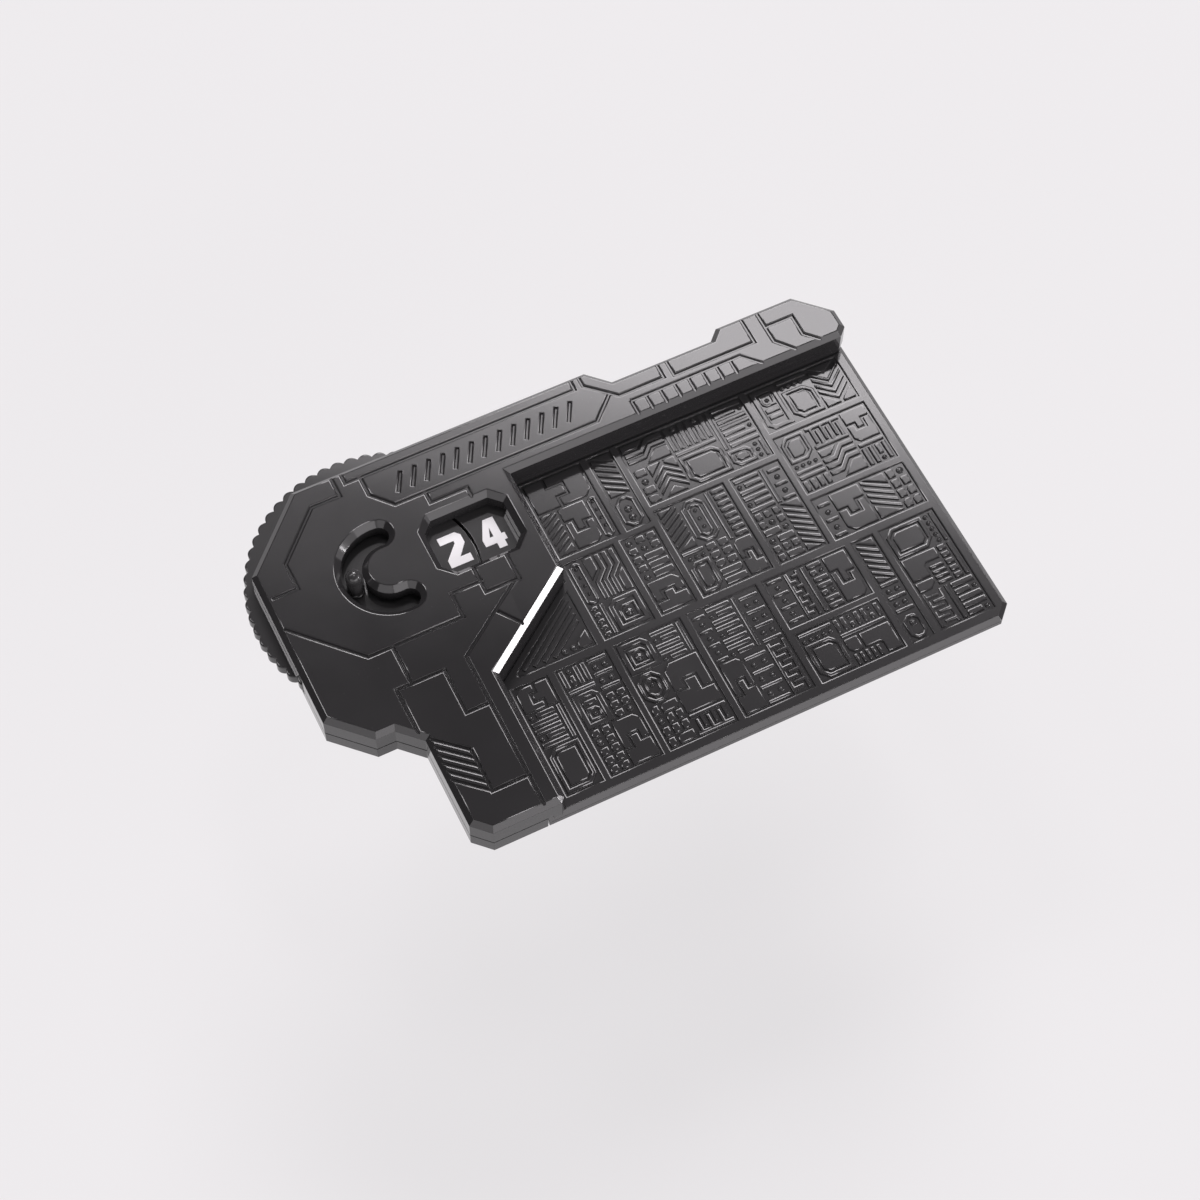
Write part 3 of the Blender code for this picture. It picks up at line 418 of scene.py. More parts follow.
class Graph:
    """A node tree, with short ways to add nodes and join them."""

    def __init__(self, tree: NodeTree) -> None:
        """Take the tree that nodes are added to."""
        self.tree = tree

    def feed(self, node: Node, values: dict[Any, Any]) -> Node:
        """Fill a node's inputs.

        Args:
            node: the node.
            values: what its inputs hold, by name or number: a value, or a socket to link.

        Returns:
            The node.
        """
        for name, value in values.items():
            if isinstance(value, NodeSocket):
                self.tree.links.new(value, node.inputs[name])
            else:
                node.inputs[name].default_value = value
        return node

    def add(self, kind: str, values: dict[Any, Any] | None = None, **settings: Any) -> Node:
        """Add a node.

        Args:
            kind: its type, without the words ShaderNode.
            values: what its inputs hold.
            settings: its other settings.

        Returns:
            The node.
        """
        node = self.tree.nodes.new("ShaderNode" + kind)
        for name, value in settings.items():
            setattr(node, name, value)
        return self.feed(node, values or {})

    def math(self, operation: str, *values: Any) -> NodeSocket:
        """Add a Math node and return its value."""
        return self.add("Math", dict(enumerate(values)), operation=operation).outputs[0]

    def noise(self, vector: NodeSocket, scale: Any, detail: float = 2.0, rough: float = 0.5) -> NodeSocket:
        """Add a noise with so many waves per metre and return its value."""
        node = self.add("TexNoise", {"Vector": vector, "Scale": scale, "Detail": detail,
                                     "Roughness": rough})
        return node.outputs["Fac"]

    def stretch(self, vector: NodeSocket, scale: Triple, turn: float = 0.0) -> NodeSocket:
        """Scale coordinates, then turn them about Z."""
        return self.add("Mapping", {"Vector": vector, "Rotation": (0.0, 0.0, turn),
                                    "Scale": scale}).outputs[0]

    def spread(self, value: NodeSocket, low: float, high: float, to_low: Any = 0.0,
               to_high: Any = 1.0) -> NodeSocket:
        """Map a value from one range to another, held at its ends."""
        node = self.add("MapRange", {"Value": value, "From Min": low, "From Max": high,
                                     "To Min": to_low, "To Max": to_high})
        return node.outputs["Result"]

    def blend(self, share: NodeSocket, first: Any, second: Any) -> NodeSocket:
        """Mix two colours."""
        return self.add("Mix", {0: share, 6: first, 7: second}, data_type="RGBA").outputs[2]

    def mix(self, share: NodeSocket, first: Node, second: Node) -> Node:
        """Mix two shaders."""
        return self.add("MixShader", {0: share, 1: first.outputs[0], 2: second.outputs[0]})


def new_group(name: str, inputs: dict[str, Any]) -> tuple[Graph, Any]:
    """Start a shader node group.

    Args:
        name: its name.
        inputs: each input's default: None for a vector, four numbers for a colour.

    Returns:
        The group's graph, and the sockets of what it is given.
    """
    tree = bpy.data.node_groups.new(name, "ShaderNodeTree")
    kinds = {type(None): "NodeSocketVector", tuple: "NodeSocketColor", float: "NodeSocketFloat"}
    for label, default in inputs.items():
        socket = tree.interface.new_socket(label, in_out="INPUT", socket_type=kinds[type(default)])
        if default is not None:
            socket.default_value = default
    return Graph(tree), tree.nodes.new("NodeGroupInput").outputs


def closed_group(graph: Graph, outputs: dict[str, NodeSocket]) -> NodeTree:
    """Finish a shader node group.

    Args:
        graph: the group's graph.
        outputs: the socket that each output takes, in colour or one number.

    Returns:
        The group.
    """
    for label, socket in outputs.items():
        kind = "NodeSocketColor" if socket.type == "RGBA" else "NodeSocketFloat"
        graph.tree.interface.new_socket(label, in_out="OUTPUT", socket_type=kind)
    graph.feed(graph.tree.nodes.new("NodeGroupOutput"), outputs)
    return graph.tree


@functools.cache
def moulded_surface() -> NodeTree:
    """Make the group for moulded plastic: fine grain, flow clouds and handling marks.

    The height is a fine noise plus a softer one. The roughness is its base, spread by a
    wide noise and raised along stretched rubbing marks. The colour drifts between two
    tints with the wide noise.

    Returns:
        The group, made on first use.
    """
    graph, given = new_group("Moulded surface", {
        "Vector": None, "Tint": (0.02, 0.02, 0.02, 1), "Second Tint": (0.02, 0.02, 0.02, 1),
        "Roughness": 0.3, "Roughness Spread": 0.03, "Grain Scale": 9000.0})
    place = given["Vector"]
    wide = graph.noise(place, 28.0, 3.0, 0.6)
    grain = graph.noise(place, given["Grain Scale"], 2.0, 0.6)
    ripple = graph.noise(place, 420.0)
    sweep = graph.stretch(place, (0.08, 1.0, 1.0), turn=0.45)
    rubs = graph.spread(graph.noise(sweep, 2600.0, 2.0, 0.7), 0.62, 0.74)
    patch = graph.spread(graph.noise(place, 55.0, 1.0), 0.45, 0.62)
    marks = graph.math("MULTIPLY", rubs, patch)
    drift = graph.spread(wide, 0.3, 0.7, -1.0, 1.0)
    swing = graph.math("MULTIPLY", drift, given["Roughness Spread"])
    rough = graph.math("ADD", given["Roughness"], swing)
    return closed_group(graph, {
        "Color": graph.blend(graph.spread(wide, 0.3, 0.7), given["Tint"], given["Second Tint"]),
        "Roughness": graph.math("ADD", rough, graph.math("MULTIPLY", marks, 0.03)),
        "Height": graph.math("ADD", graph.math("MULTIPLY", grain, 0.7),
                             graph.math("MULTIPLY", ripple, 0.3))})


@functools.cache
def fine_dust() -> NodeTree:
    """Make the group for fine dust: small sparse specks that gather in patches.

    A speck is where the distance to a scattered point is small, thinned by a wide noise.
    The colour goes to a pale grey under it.

    Returns:
        The group, made on first use.
    """
    graph, given = new_group("Fine dust", {"Vector": None, "Color": (0.0, 0.0, 0.0, 1.0),
                                           "Scale": 700.0, "Amount": 0.5})
    cells = graph.add("TexVoronoi", {"Vector": given["Vector"], "Scale": given["Scale"],
                                     "Randomness": 1.0}).outputs["Distance"]
    speck = graph.spread(cells, 0.05, 0.1, 1.0, 0.0)
    patch = graph.spread(graph.noise(given["Vector"], 90.0), 0.5, 0.7)
    share = graph.math("MULTIPLY", graph.math("MULTIPLY", speck, patch), given["Amount"])
    return closed_group(graph, {"Color": graph.blend(share, given["Color"], (0.28, 0.27, 0.26, 1.0))})


@functools.cache
def brushed_metal() -> NodeTree:
    """Make the group for drawn or plated metal: noise stretched along one way, and stains.

    The roughness follows a noise whose coordinates are squeezed along X, and the colour
    darkens under a second, wide noise.

    Returns:
        The group, made on first use.
    """
    graph, given = new_group("Brushed metal", {"Vector": None, "Tint": (0.5, 0.5, 0.5, 1.0),
                                               "Stain": (0.3, 0.3, 0.3, 1.0)})
    lines = graph.noise(graph.stretch(given["Vector"], (0.06, 1.0, 1.0)), 9000.0, 2.0, 0.6)
    stain = graph.spread(graph.noise(given["Vector"], 800.0, 3.0), 0.35, 0.7)
    return closed_group(graph, {"Color": graph.blend(stain, given["Tint"], given["Stain"]),
                                "Roughness": graph.spread(lines, 0.3, 0.7, 0.22, 0.42),
                                "Height": lines})


def rgba(colour: Triple, gain: float = 1.0) -> tuple[float, float, float, float]:
    """Return a colour with a gain, and full alpha."""
    return (colour[0] * gain, colour[1] * gain, colour[2] * gain, 1.0)


def new_material(name: str) -> tuple[Material, Graph, Node, NodeSocket]:
    """Start a material.

    Args:
        name: its name.

    Returns:
        The material, its graph, its Principled shader and the object coordinates.
    """
    material = bpy.data.materials.new(name)
    material.use_nodes = True
    graph = Graph(material.node_tree)
    shader = material.node_tree.nodes["Principled BSDF"]
    return material, graph, shader, graph.add("TexCoord").outputs["Object"]


def wire(graph: Graph, shader: Node, skin: Node, colour: NodeSocket, bump: tuple[float, float]) -> None:
    """Lead a skin group's outputs to the shader.

    Args:
        graph: the material's graph.
        shader: its Principled shader.
        skin: the group that gives roughness and height.
        colour: the base colour.
        bump: the bump's strength, and how high it stands in millimetres.
    """
    relief = graph.add("Bump", {"Height": skin.outputs["Height"], "Strength": bump[0],
                                "Distance": bump[1] * MM})
    graph.feed(shader, {"Base Color": colour, "Roughness": skin.outputs["Roughness"],
                        "Normal": relief.outputs["Normal"]})


@dataclass(frozen=True)
class MouldedPlastic:
    """A moulded plastic finish.

    Args:
        name: the material's name.
        colour: its base colour.
        roughness: its mean roughness.
        spread: how far the roughness drifts.
        grain: how high the fine grain stands, in millimetres.
        dust: how strong the dust specks are.
        grain_scale: how fine the grain is, per metre.
        tints: the gains of the two tints that the colour drifts between.
    """

    name: str
    colour: Triple
    roughness: float
    spread: float = 0.03
    grain: float = 0.004
    dust: float = 0.12
    grain_scale: float = 5200.0
    tints: tuple[float, float] = (0.92, 1.1)

    @functools.cache
    def material(self) -> Material:
        """Return the material, made on first use."""
        material, graph, shader, place = new_material(self.name)
        first, second = (rgba(self.colour, gain) for gain in self.tints)
        skin = graph.add("Group", {
            "Vector": place, "Tint": first, "Second Tint": second, "Roughness": self.roughness,
            "Roughness Spread": self.spread, "Grain Scale": self.grain_scale},
            node_tree=moulded_surface())
        dust = graph.add("Group", {"Vector": place, "Color": skin.outputs["Color"],
                                   "Amount": self.dust}, node_tree=fine_dust())
        wire(graph, shader, skin, dust.outputs["Color"], (1.0, self.grain))
        return material


@dataclass(frozen=True)
class Metal:
    """A drawn or plated metal finish.

    Args:
        name: the material's name.
        colour: its base colour.
        stain: the colour of its darker patches.
        bump: the strength of the drawn lines, and how high they stand in millimetres.
    """

    name: str
    colour: Triple
    stain: Triple
    bump: tuple[float, float] = (0.6, 0.003)

    @functools.cache
    def material(self) -> Material:
        """Return the material, made on first use."""
        material, graph, shader, place = new_material(self.name)
        skin = graph.add("Group", {"Vector": place, "Tint": rgba(self.colour),
                                   "Stain": rgba(self.stain)}, node_tree=brushed_metal())
        shader.inputs["Metallic"].default_value = 1.0
        wire(graph, shader, skin, skin.outputs["Color"], self.bump)
        return material


SHELL_FINISH = MouldedPlastic("shell_plastic", (0.029, 0.028, 0.029), 0.085, spread=0.02, grain=0.0015)
TRAY_FINISH = MouldedPlastic("tray_plastic", (0.036, 0.035, 0.036), 0.09, spread=0.012, grain=0.0008)
DIAL_FINISH = MouldedPlastic("dial_plastic", (0.042, 0.041, 0.042), 0.07, spread=0.012, grain=0.0006)
PAINT_FINISH = MouldedPlastic("numeral_paint", (0.90, 0.885, 0.90), 0.38, grain=0.003, dust=0.0)
AXLE_FINISH = MouldedPlastic("axle_nylon", (0.70, 0.69, 0.66), 0.42, grain=0.006, dust=0.1)
WASHER_FINISH = MouldedPlastic("washer_nylon", (0.35, 0.35, 0.36), 0.45, grain=0.006, dust=0.1)
RUBBER_FINISH = MouldedPlastic("foot_rubber", (0.030, 0.030, 0.030), 0.78, grain=0.02, dust=1.0,
                               grain_scale=3600.0)
SPRING_FINISH = Metal("spring_steel", (0.50, 0.50, 0.52), (0.34, 0.33, 0.33))
SCREW_FINISH = Metal("screw_steel", (0.24, 0.24, 0.25), (0.12, 0.12, 0.13))


# The housing

@dataclass
class Housing:
    """The two shells of the housing and the rail, with softened edges.

    Args:
        top_edge: rounding of the top shell's edges.
        base_edge: rounding of the base shell's edges.
        lip: how wide the top face's falling borders are, and how far they fall.
    """

    top_edge: float = 0.06
    base_edge: float = 0.12
    lip: tuple[float, float] = (0.19, 0.037)

    def build(self) -> None:
        """Build both shells."""
        top = (box_mm("top_shell")[1][2], *self.lip)
        for node, edge, lip in (("top_shell", self.top_edge, top), ("base_shell", self.base_edge, None)):
            shell = softened(node, node + "_body", edge, SHELL_FINISH.material(), lip)
            carry(shell, HOUSING, "shell_black", node)


# The card tray

@dataclass(frozen=True)
class Feature:
    """One raised shape of the relief: a flat plate, a band round a hole, or a domed stud.

    Args:
        plan: its plan in a block's own coordinates.
        hole: the plan of its hole, with as many points as the plan.
        domed: whether it is a stud.
        height: how far it stands over the floor.
    """

    plan: Plan
    hole: Plan | None = None
    domed: bool = False
    height: float = 0.4


def plate(*points: Sequence[float]) -> Feature:
    """Return a flat raised shape."""
    return Feature(np.array(points, float))


def bar(x0: float, y0: float, x1: float, y1: float, cut: float = 0.0) -> Feature:
    """Return a flat raised rectangle whose upper right corner may be cut off."""
    return plate(*box_plan(x0, y0, x1, y1, cut))


def band(plan: Plan, width: float) -> Feature:
    """Return a raised band along the inside of a plan."""
    return Feature(plan, moved_in(plan, width))


def stud(x: float, y: float, radius: float) -> Feature:
    """Return a domed stud."""
    return Feature(circle(radius, 18, (x, y)), domed=True, height=0.42)


class BlockPatterns:
    """The motifs that fill a block of the relief.

    Each is a function of the block's width w and length h, whose numbers are the motif's own
    proportions, and gives the raised shapes one by one.
    """

    GAP = 0.65              # between two raised shapes
    BAR = 0.9               # width of a thin bar
    BAND = 1.25             # width of a broad band
    STEP = 1.85             # from one band to the next
    SLIM = ("ladder", "fins", "combs", "tiles", "studs", "panel", "hexes", "steps")
    WIDE = ("framed", "plates", "pipes", "chevrons", "tiles", "panel", "steps", "framed",
            "panel", "steps", "ladder")
    SLIM_WIDTH = 6.5        # blocks below this width take a slim motif

    def __init__(self, rng: np.random.Generator) -> None:
        """Take the seeded source of the small choices."""
        self.rng = rng

    def ladder(self, w: float, h: float) -> Iterator[Feature]:
        """Give a spine with rungs of two lengths, the short ones ended by a stud."""
        rungs = max(2, round(h / 1.75))
        pitch = (h + self.GAP) / rungs
        yield bar(0, 0, 1.0, h)
        for i in range(rungs):
            y = i * pitch
            end = w - 2.0 if i % 3 == 1 and w > 5.0 else w
            yield bar(1.6, y, end, y + pitch - self.GAP)
            if end < w:
                yield stud(w - 0.7, y + (pitch - self.GAP) / 2, 0.62)

    def pipes(self, w: float, h: float) -> Iterator[Feature]:
        """Give parallel bands that jog sideways together, between two fillers."""
        jog, turn = min(0.34 * w, 2.6), 0.36 * h
        count = max(1, int((w - jog + self.GAP) / self.STEP))
        xs = self.BAND / 2 + self.STEP * np.arange(count)
        for x in xs:
            yield plate(*strip([(x, 0), (x, turn), (x + jog, turn + jog), (x + jog, h)], self.BAND))
        if jog > 1.5:
            side = jog - self.GAP
            yield plate((0, turn + 1.2), (side, turn + jog + 0.55), (side, h), (0, h))
        rest = xs[-1] + self.STEP - self.BAND / 2
        if w - rest > 0.8:
            yield plate((rest, 0), (w, 0), (w, turn + w - rest - 0.6), (rest, turn - 0.6))

    def framed(self, w: float, h: float) -> Iterator[Feature]:
        """Give a cut-cornered frame round a small frame with a stud, over bars."""
        yield band(box_plan(0, 0, w, h, 0.22 * w), self.BAND)
        side = min(w - 3.1, 4.6)
        low, high = 1.55, 1.55 + side
        yield band(box_plan(low, low, high, high, 0.25 * side), 0.7)
        yield stud(low + side / 2, low + side / 2, side / 2 - 1.2)
        for y in np.arange(high + self.GAP, h - 2.4, self.STEP):
            yield bar(low, y, w - low, y + self.BAND)

    def chevrons(self, w: float, h: float) -> Iterator[Feature]:
        """Give nested bent bands with a wedge under them and two fillers over them."""
        mid, rise, lift = w / 2, 0.42 * w, 0.85
        count = int(min(4, (h - rise - 1.0) / self.STEP))
        yield plate((0.8, 0.0), (w - 0.8, 0.0), (mid, rise - 0.8))
        for k in range(count):
            y = lift + k * self.STEP
            yield plate((0, y), (mid, y + rise), (w, y), (w, y + self.BAR),
                        (mid, y + rise + self.BAR), (0, y + self.BAR))
        top = lift + count * self.STEP + 0.1
        if h - top > 1.0:
            yield plate((0, top), (mid - 0.7, top + rise - 0.6), (mid - 0.7, h), (0, h))
            yield plate((w, top), (w, h), (mid + 0.1, h), (mid + 0.1, top + rise))

    def tiles(self, w: float, h: float) -> Iterator[Feature]:
        """Give a grid of small tiles, some of them joined and some of them studs."""
        across, along, gap = max(1, round(w / 2.5)), max(2, round(h / 2.5)), self.GAP
        dx, dy = (w + gap) / across, (h + gap) / along
        for j in range(along):
            i = 0
            while i < across:
                span = 2 if i + 1 < across and self.rng.random() < 0.4 else 1
                x, y = i * dx, j * dy
                if span == 1 and self.rng.random() < 0.2:
                    yield stud(x + (dx - gap) / 2, y + (dy - gap) / 2, min(dx, dy) / 2 - 0.4)
                else:
                    cut = 0.6 * (self.rng.random() < 0.3)
                    yield bar(x, y, x + span * dx - gap, y + dy - gap, cut)
                i += span

    def plates(self, w: float, h: float) -> Iterator[Feature]:
        """Give two plates that fit round each other along a bent gap, and bars beside them."""
        a, b, c, gap = 0.52 * w, 0.3 * h, 0.66 * h, self.GAP
        yield plate((0, 0), (w, 0), (w, b), (a + gap, b), (a, b + gap), (a, c), (0, c))
        yield bar(0, c + gap, a, h, 0.3 * a)
        for y in np.arange(b + 1.3, h - 0.8, 1.45):
            yield bar(a + gap, y, w, y + 0.8)

    def fins(self, w: float, h: float) -> Iterator[Feature]:
        """Give slanted bars between two end wedges."""
        slant = min(0.6 * w, 4.0)
        count = max(1, int((h - slant - self.BAR) / self.STEP) + 1)
        for y in self.STEP * np.arange(count):
            yield plate((0, y), (w, y + slant), (w, y + slant + self.BAR), (0, y + self.BAR))
        top = count * self.STEP
        if slant > 1.6:
            yield plate((0.9, 0), (w, 0), (w, slant - 0.8))
        if h - top > 1.0:
            reach = min(w, w * (h - top) / slant)
            rise = top + slant * reach / w
            side = [(reach, rise)] if h - top > slant * reach / w + 0.3 else []
            yield plate((0, top), *side, (reach, h), (0, h))

    def studs(self, w: float, h: float) -> Iterator[Feature]:
        """Give rows of studs between bars."""
        across, rows = max(1, int(w / 2.2)), max(1, round(h / 3.6))
        pitch = (h + 2.3) / rows
        for j in range(rows):
            y = j * pitch
            yield bar(0, y, w, min(y + self.BAR, h))
            if y + 2.2 < h:
                for i in range(across):
                    yield stud((i + 0.5) * (w / across), y + (pitch + self.BAR) / 2, 0.72)

    def hexes(self, w: float, h: float) -> Iterator[Feature]:
        """Give long eight-sided frames inside each other, with studs in the middle."""
        s, double = 0.3 * w, w > 5.6
        outer = np.array([(s, 0), (w - s, 0), (w, s), (w, h - s), (w - s, h), (s, h), (0, h - s), (0, s)])
        yield band(outer, 0.8)
        if double:
            yield band(moved_in(outer, 1.4), 0.7)
        for y in np.arange(w / 2, h - w / 2 + 0.1, 2.4):
            yield stud(w / 2, y, min(0.95, max(0.4, w / 2 - (2.7 if double else 1.4))))

    def combs(self, w: float, h: float) -> Iterator[Feature]:
        """Give two combs whose teeth pass each other."""
        spine, first = self.BAR, 0.8
        teeth = max(3, round((h - first) / 1.5))
        pitch = (h - first) / teeth
        left, right = [(0.0, 0.0), (spine, 0.0)], [(w, h), (w - spine, h)]
        for i in range(teeth):
            y0, y1 = first + i * pitch, 0.18 + (i + 1) * pitch
            if i % 2 == 0:
                left += [(spine, y0), (w - 1.55, y0), (w - 1.55, y1), (spine, y1)]
            else:
                right[2:2] = [(w - spine, y1), (1.55, y1), (1.55, y0), (w - spine, y0)]
        yield plate(*left, (spine, h), (0.0, h))
        yield plate(*right, (w - spine, 0.0), (w, 0.0))

    def panel(self, w: float, h: float) -> Iterator[Feature]:
        """Give a cut-cornered band round a plate, with a bar and studs past it where they fit."""
        room = h > 1.5 * w and h > 7.0
        high, cut = h - 3.2 if room else h, min(0.3 * w, 2.0)
        outer = np.array([(cut, 0), (w, 0), (w, high - cut), (w - cut, high), (0, high), (0, cut)])
        yield band(outer, 0.95)
        if min(w, high) > 4.0:
            yield plate(*moved_in(outer, 1.5))
        if room:
            yield bar(0, h - self.BAR, w, h)
            for x in np.arange(0.8, w - 0.5, 1.7):
                yield stud(x, h - 2.05, 0.6)

    def steps(self, w: float, h: float) -> Iterator[Feature]:
        """Give two plates that meet along a stepped gap."""
        a, b, g = 0.3 * w, 0.68 * w, 0.3
        y1, y2, y3 = 0.34 * h, 0.62 * h, 0.44 * h
        yield plate((0, 0), (w, 0), (w, y3 - g), (b - g, y3 - g), (b - g, y2 - g), (a + g, y2 - g),
                    (a + g, y1 - g), (0, y1 - g))
        yield plate((0, h), (0, y1 + g), (a - g, y1 + g), (a - g, y2 + g), (b + g, y2 + g),
                    (b + g, y3 + g), (w, y3 + g), (w, h - 0.2 * w), (0.8 * w, h))

    def pick(self, w: float, h: float, last: str) -> tuple[str, list[Feature]]:
        """Pick a motif that suits a block and isn't the last one, and return it by name."""
        names = [name for name in (self.SLIM if w < self.SLIM_WIDTH else self.WIDE) if name != last]
        name = names[self.rng.integers(len(names))]
        return name, list(getattr(self, name)(w, h))


@dataclass
class CardTray:
    """The card tray: the CAD plate with pockets cut into its top, and the relief that fills them.

    Args:
        depth: how deep the pockets are.
        run: how far a pocket's wall runs in on its way down.
        street: width of the flat streets between pockets.
        lip: how a raised edge falls away: each point's way in from the side, and its drop.
        margin: from a pocket's floor to the first raised shape.
        sunk: how far a raised shape's foot reaches into the floor, and out past its sides.
        flare: how a pocket's cutter goes on above the tray: its way in and its drop.
        set_back: how much lower the quieter cells stand, and the share of cells that do.
        blocks: the most that a block's longer and shorter side may be.
        cells: the most that a cell's longer and shorter side may be.
        seed: seed of the layout.
        areas: the fields of blocks, in plan.
        slanted: the block beside the slanted wall, in plan.
        edge: rounding of the plate's own edges.
        dome: a stud's top: each point's share of the radius, and its rise over the stem.
        parts: the raised shapes made so far.
    """

    depth: float = 0.42
    run: float = 0.1
    street: float = 1.8
    lip: Pairs = ((0.0, 0.2), (0.02, 0.1), (0.05, 0.05), (0.08, 0.038), (0.27, 0.0))
    margin: float = 0.5
    sunk: float = 0.06
    flare: tuple[float, float] = (-0.6, -0.03)
    set_back: tuple[float, float] = (0.12, 0.3)
    blocks: tuple[float, float] = (34.0, 19.0)
    cells: tuple[float, float] = (15.0, 9.5)
    seed: int = 5
    areas: Sequence[Sequence[float]] = ((42.6, 3.6, 153.7, 33.4), (68.0, 35.7, 153.7, 82.0))
    slanted: Pairs = ((45.8, 35.7), (65.7, 35.7), (65.7, 51.3), (45.8, 36.8))
    edge: float = 0.12
    dome: Pairs = ((1.0, 0.0), (0.93, 0.07), (0.78, 0.13), (0.72, 0.08), (0.62, 0.1), (0.45, 0.17),
                   (0.22, 0.21), (0.05, 0.22))
    parts: list[Surface] = field(default_factory=list)

    def split(self, area: Sequence[float], gap: float, most: tuple[float, float],
              rng: np.random.Generator) -> list[Sequence[float]]:
        """Split an area again and again, until its parts are small enough.

        Args:
            area: its lower left and upper right corner.
            gap: the width between two parts.
            most: the most that a part's longer and shorter side may be.
            rng: the seeded source of the cuts.

        Returns:
            The parts.
        """
        x0, y0, x1, y1 = area
        w, h = x1 - x0, y1 - y0
        if max(w, h) < most[0] and min(w, h) < most[1]:
            return [area]
        share = rng.choice((0.3, 0.42, 0.5, 0.58, 0.7))
        if w * rng.uniform(1.0, 1.9) > h:
            at = x0 + w * share
            halves = ((x0, y0, at - gap / 2, y1), (at + gap / 2, y0, x1, y1))
        else:
            at = y0 + h * share
            halves = ((x0, y0, x1, at - gap / 2), (x0, at + gap / 2, x1, y1))
        return [part for half in halves for part in self.split(half, gap, most, rng)]

    def rings(self, plan: Plan, low: float, high: float) -> list[np.ndarray]:
        """Return a raised shape's rings, from its foot to its rounded top edge."""
        foot = raised(moved_in(plan, -self.sunk), low)
        return [foot] + [raised(moved_in(plan, way), high - drop) for way, drop in self.lip]

    def raise_feature(self, feature: Feature, place: Callable[[Plan], Plan], lower: float = 0.0) -> None:
        """Build one raised shape of the relief and keep its closed skin.

        Args:
            feature: the shape.
            place: takes plan points from the block's coordinates to the frame's.
            lower: how far it stays under its own height.
        """
        low = TRAY_TOP - self.depth - self.sunk
        high = TRAY_TOP - self.depth + feature.height - lower
        placed = place(feature.plan)
        plan = anticlockwise(placed)
        if feature.domed:
            centre, stem = plan.mean(0), high - self.dome[-1][1]
            profile = [(1.08, low)] + [(share, stem + rise) for share, rise in self.dome]
            rings = [raised(centre + (plan - centre) * share, z) for share, z in profile]
        else:
            rings = self.rings(plan, low, high)
        if feature.hole is not None:
            hole = place(feature.hole)
            hole = hole[::-1] if plan is placed else hole
            rings += [ring[::-1] for ring in self.rings(hole, low, high)[::-1]]
        self.parts.append(ring_stack(rings, closed=feature.hole is not None))

    def fill_block(self, block: Sequence[float], patterns: BlockPatterns, last: str) -> str:
        """Fill one block: it splits into cells, and each cell gets a motif, turned by chance.

        Args:
            block: its lower left and upper right corner.
            patterns: the motifs.
            last: the name of the motif before it.

        Returns:
            The name of its last motif.
        """
        inset = self.run + self.margin
        inside = (block[0] + inset, block[1] + inset, block[2] - inset, block[3] - inset)
        for cell in self.split(inside, patterns.GAP, self.cells, patterns.rng):
            lo, size = np.array(cell[:2]), np.array(cell[2:]) - cell[:2]
            swap = size[0] > size[1]
            w, h = sorted(size)
            last, features = patterns.pick(w, h, last)
            flip = patterns.rng.random(2) < 0.5

            def place(plan: Plan) -> Plan:
                """Take the motif's plan to the frame."""
                plan = plan[:, ::-1] if swap else plan
                return np.where(flip, size - plan, plan) + lo - PLAN_ORIGIN

            lower = self.set_back[0] * (patterns.rng.random() < self.set_back[1])
            for feature in features:
                self.raise_feature(feature, place, lower)
        return last

    def fill_slanted(self) -> None:
        """Fill the block beside the slanted wall with bands that follow it, two studs and a wedge."""
        a, b, c, d = (np.array(corner) for corner in self.slanted)
        along = (c - d) / np.linalg.norm(c - d)
        down = np.array((along[1], -along[0]))
        right, low = b[0] - 0.6, a[1] + 0.6
        features = []
        for lift in (1.1, 2.65, 4.2, 5.75):
            start = d + down * lift
            first = start + along * max((low + 0.5 - start[1]) / along[1], 1.2)
            last = start + along * (right - 0.5 - start[0]) / along[0]
            features.append(plate(*strip([first, last], BlockPatterns.BAR)))
        features += [stud(x, low + 0.9, 0.8) for x in (58.3, 60.6)]
        left = right - 3.2
        features.append(plate((left, low), (right, low), (right, low + 4.2), (left, low + 1.9)))
        for feature in features:
            self.raise_feature(feature, lambda plan: plan - PLAN_ORIGIN)

    def pocket(self, plan: Plan) -> Surface:
        """Return the cutter of one pocket, whose flare rounds the pocket's upper edge."""
        profile = ((self.run, self.depth), *((-way, drop) for way, drop in self.lip), self.flare)
        return ring_stack([raised(moved_in(plan, way), TRAY_TOP - drop) for way, drop in profile])

    def build(self) -> None:
        """Build the plate with its pockets, and the relief in them."""
        material = TRAY_FINISH.material()
        rng = np.random.default_rng(self.seed)
        patterns = BlockPatterns(rng)
        blocks = [block for area in self.areas
                  for block in self.split(area, self.street, self.blocks, rng)]
        last = ""
        for block in blocks:
            last = self.fill_block(block, patterns, last)
        self.fill_slanted()

        tray = softened("card_tray", "tray_plate", self.edge, material)
        tray.modifiers.clear()
        plans = [box_plan(*block) for block in blocks] + [np.array(self.slanted)]
        cutter = new_object("pocket_cutter", joined([self.pocket(plan - PLAN_ORIGIN) for plan in plans]),
                            material)
        cutter.modifiers.clear()
        cut = tray.modifiers.new("Pockets", "BOOLEAN")
        cut.operation, cut.solver, cut.object = "DIFFERENCE", "EXACT", cutter
        bake(tray)
        bpy.data.objects.remove(cutter)
        shade(tray)
        carry(tray, HOUSING, "tray_black", "card_tray")
        carry(new_object("tray_relief", joined(self.parts), material), HOUSING, "tray_black")


# The dials

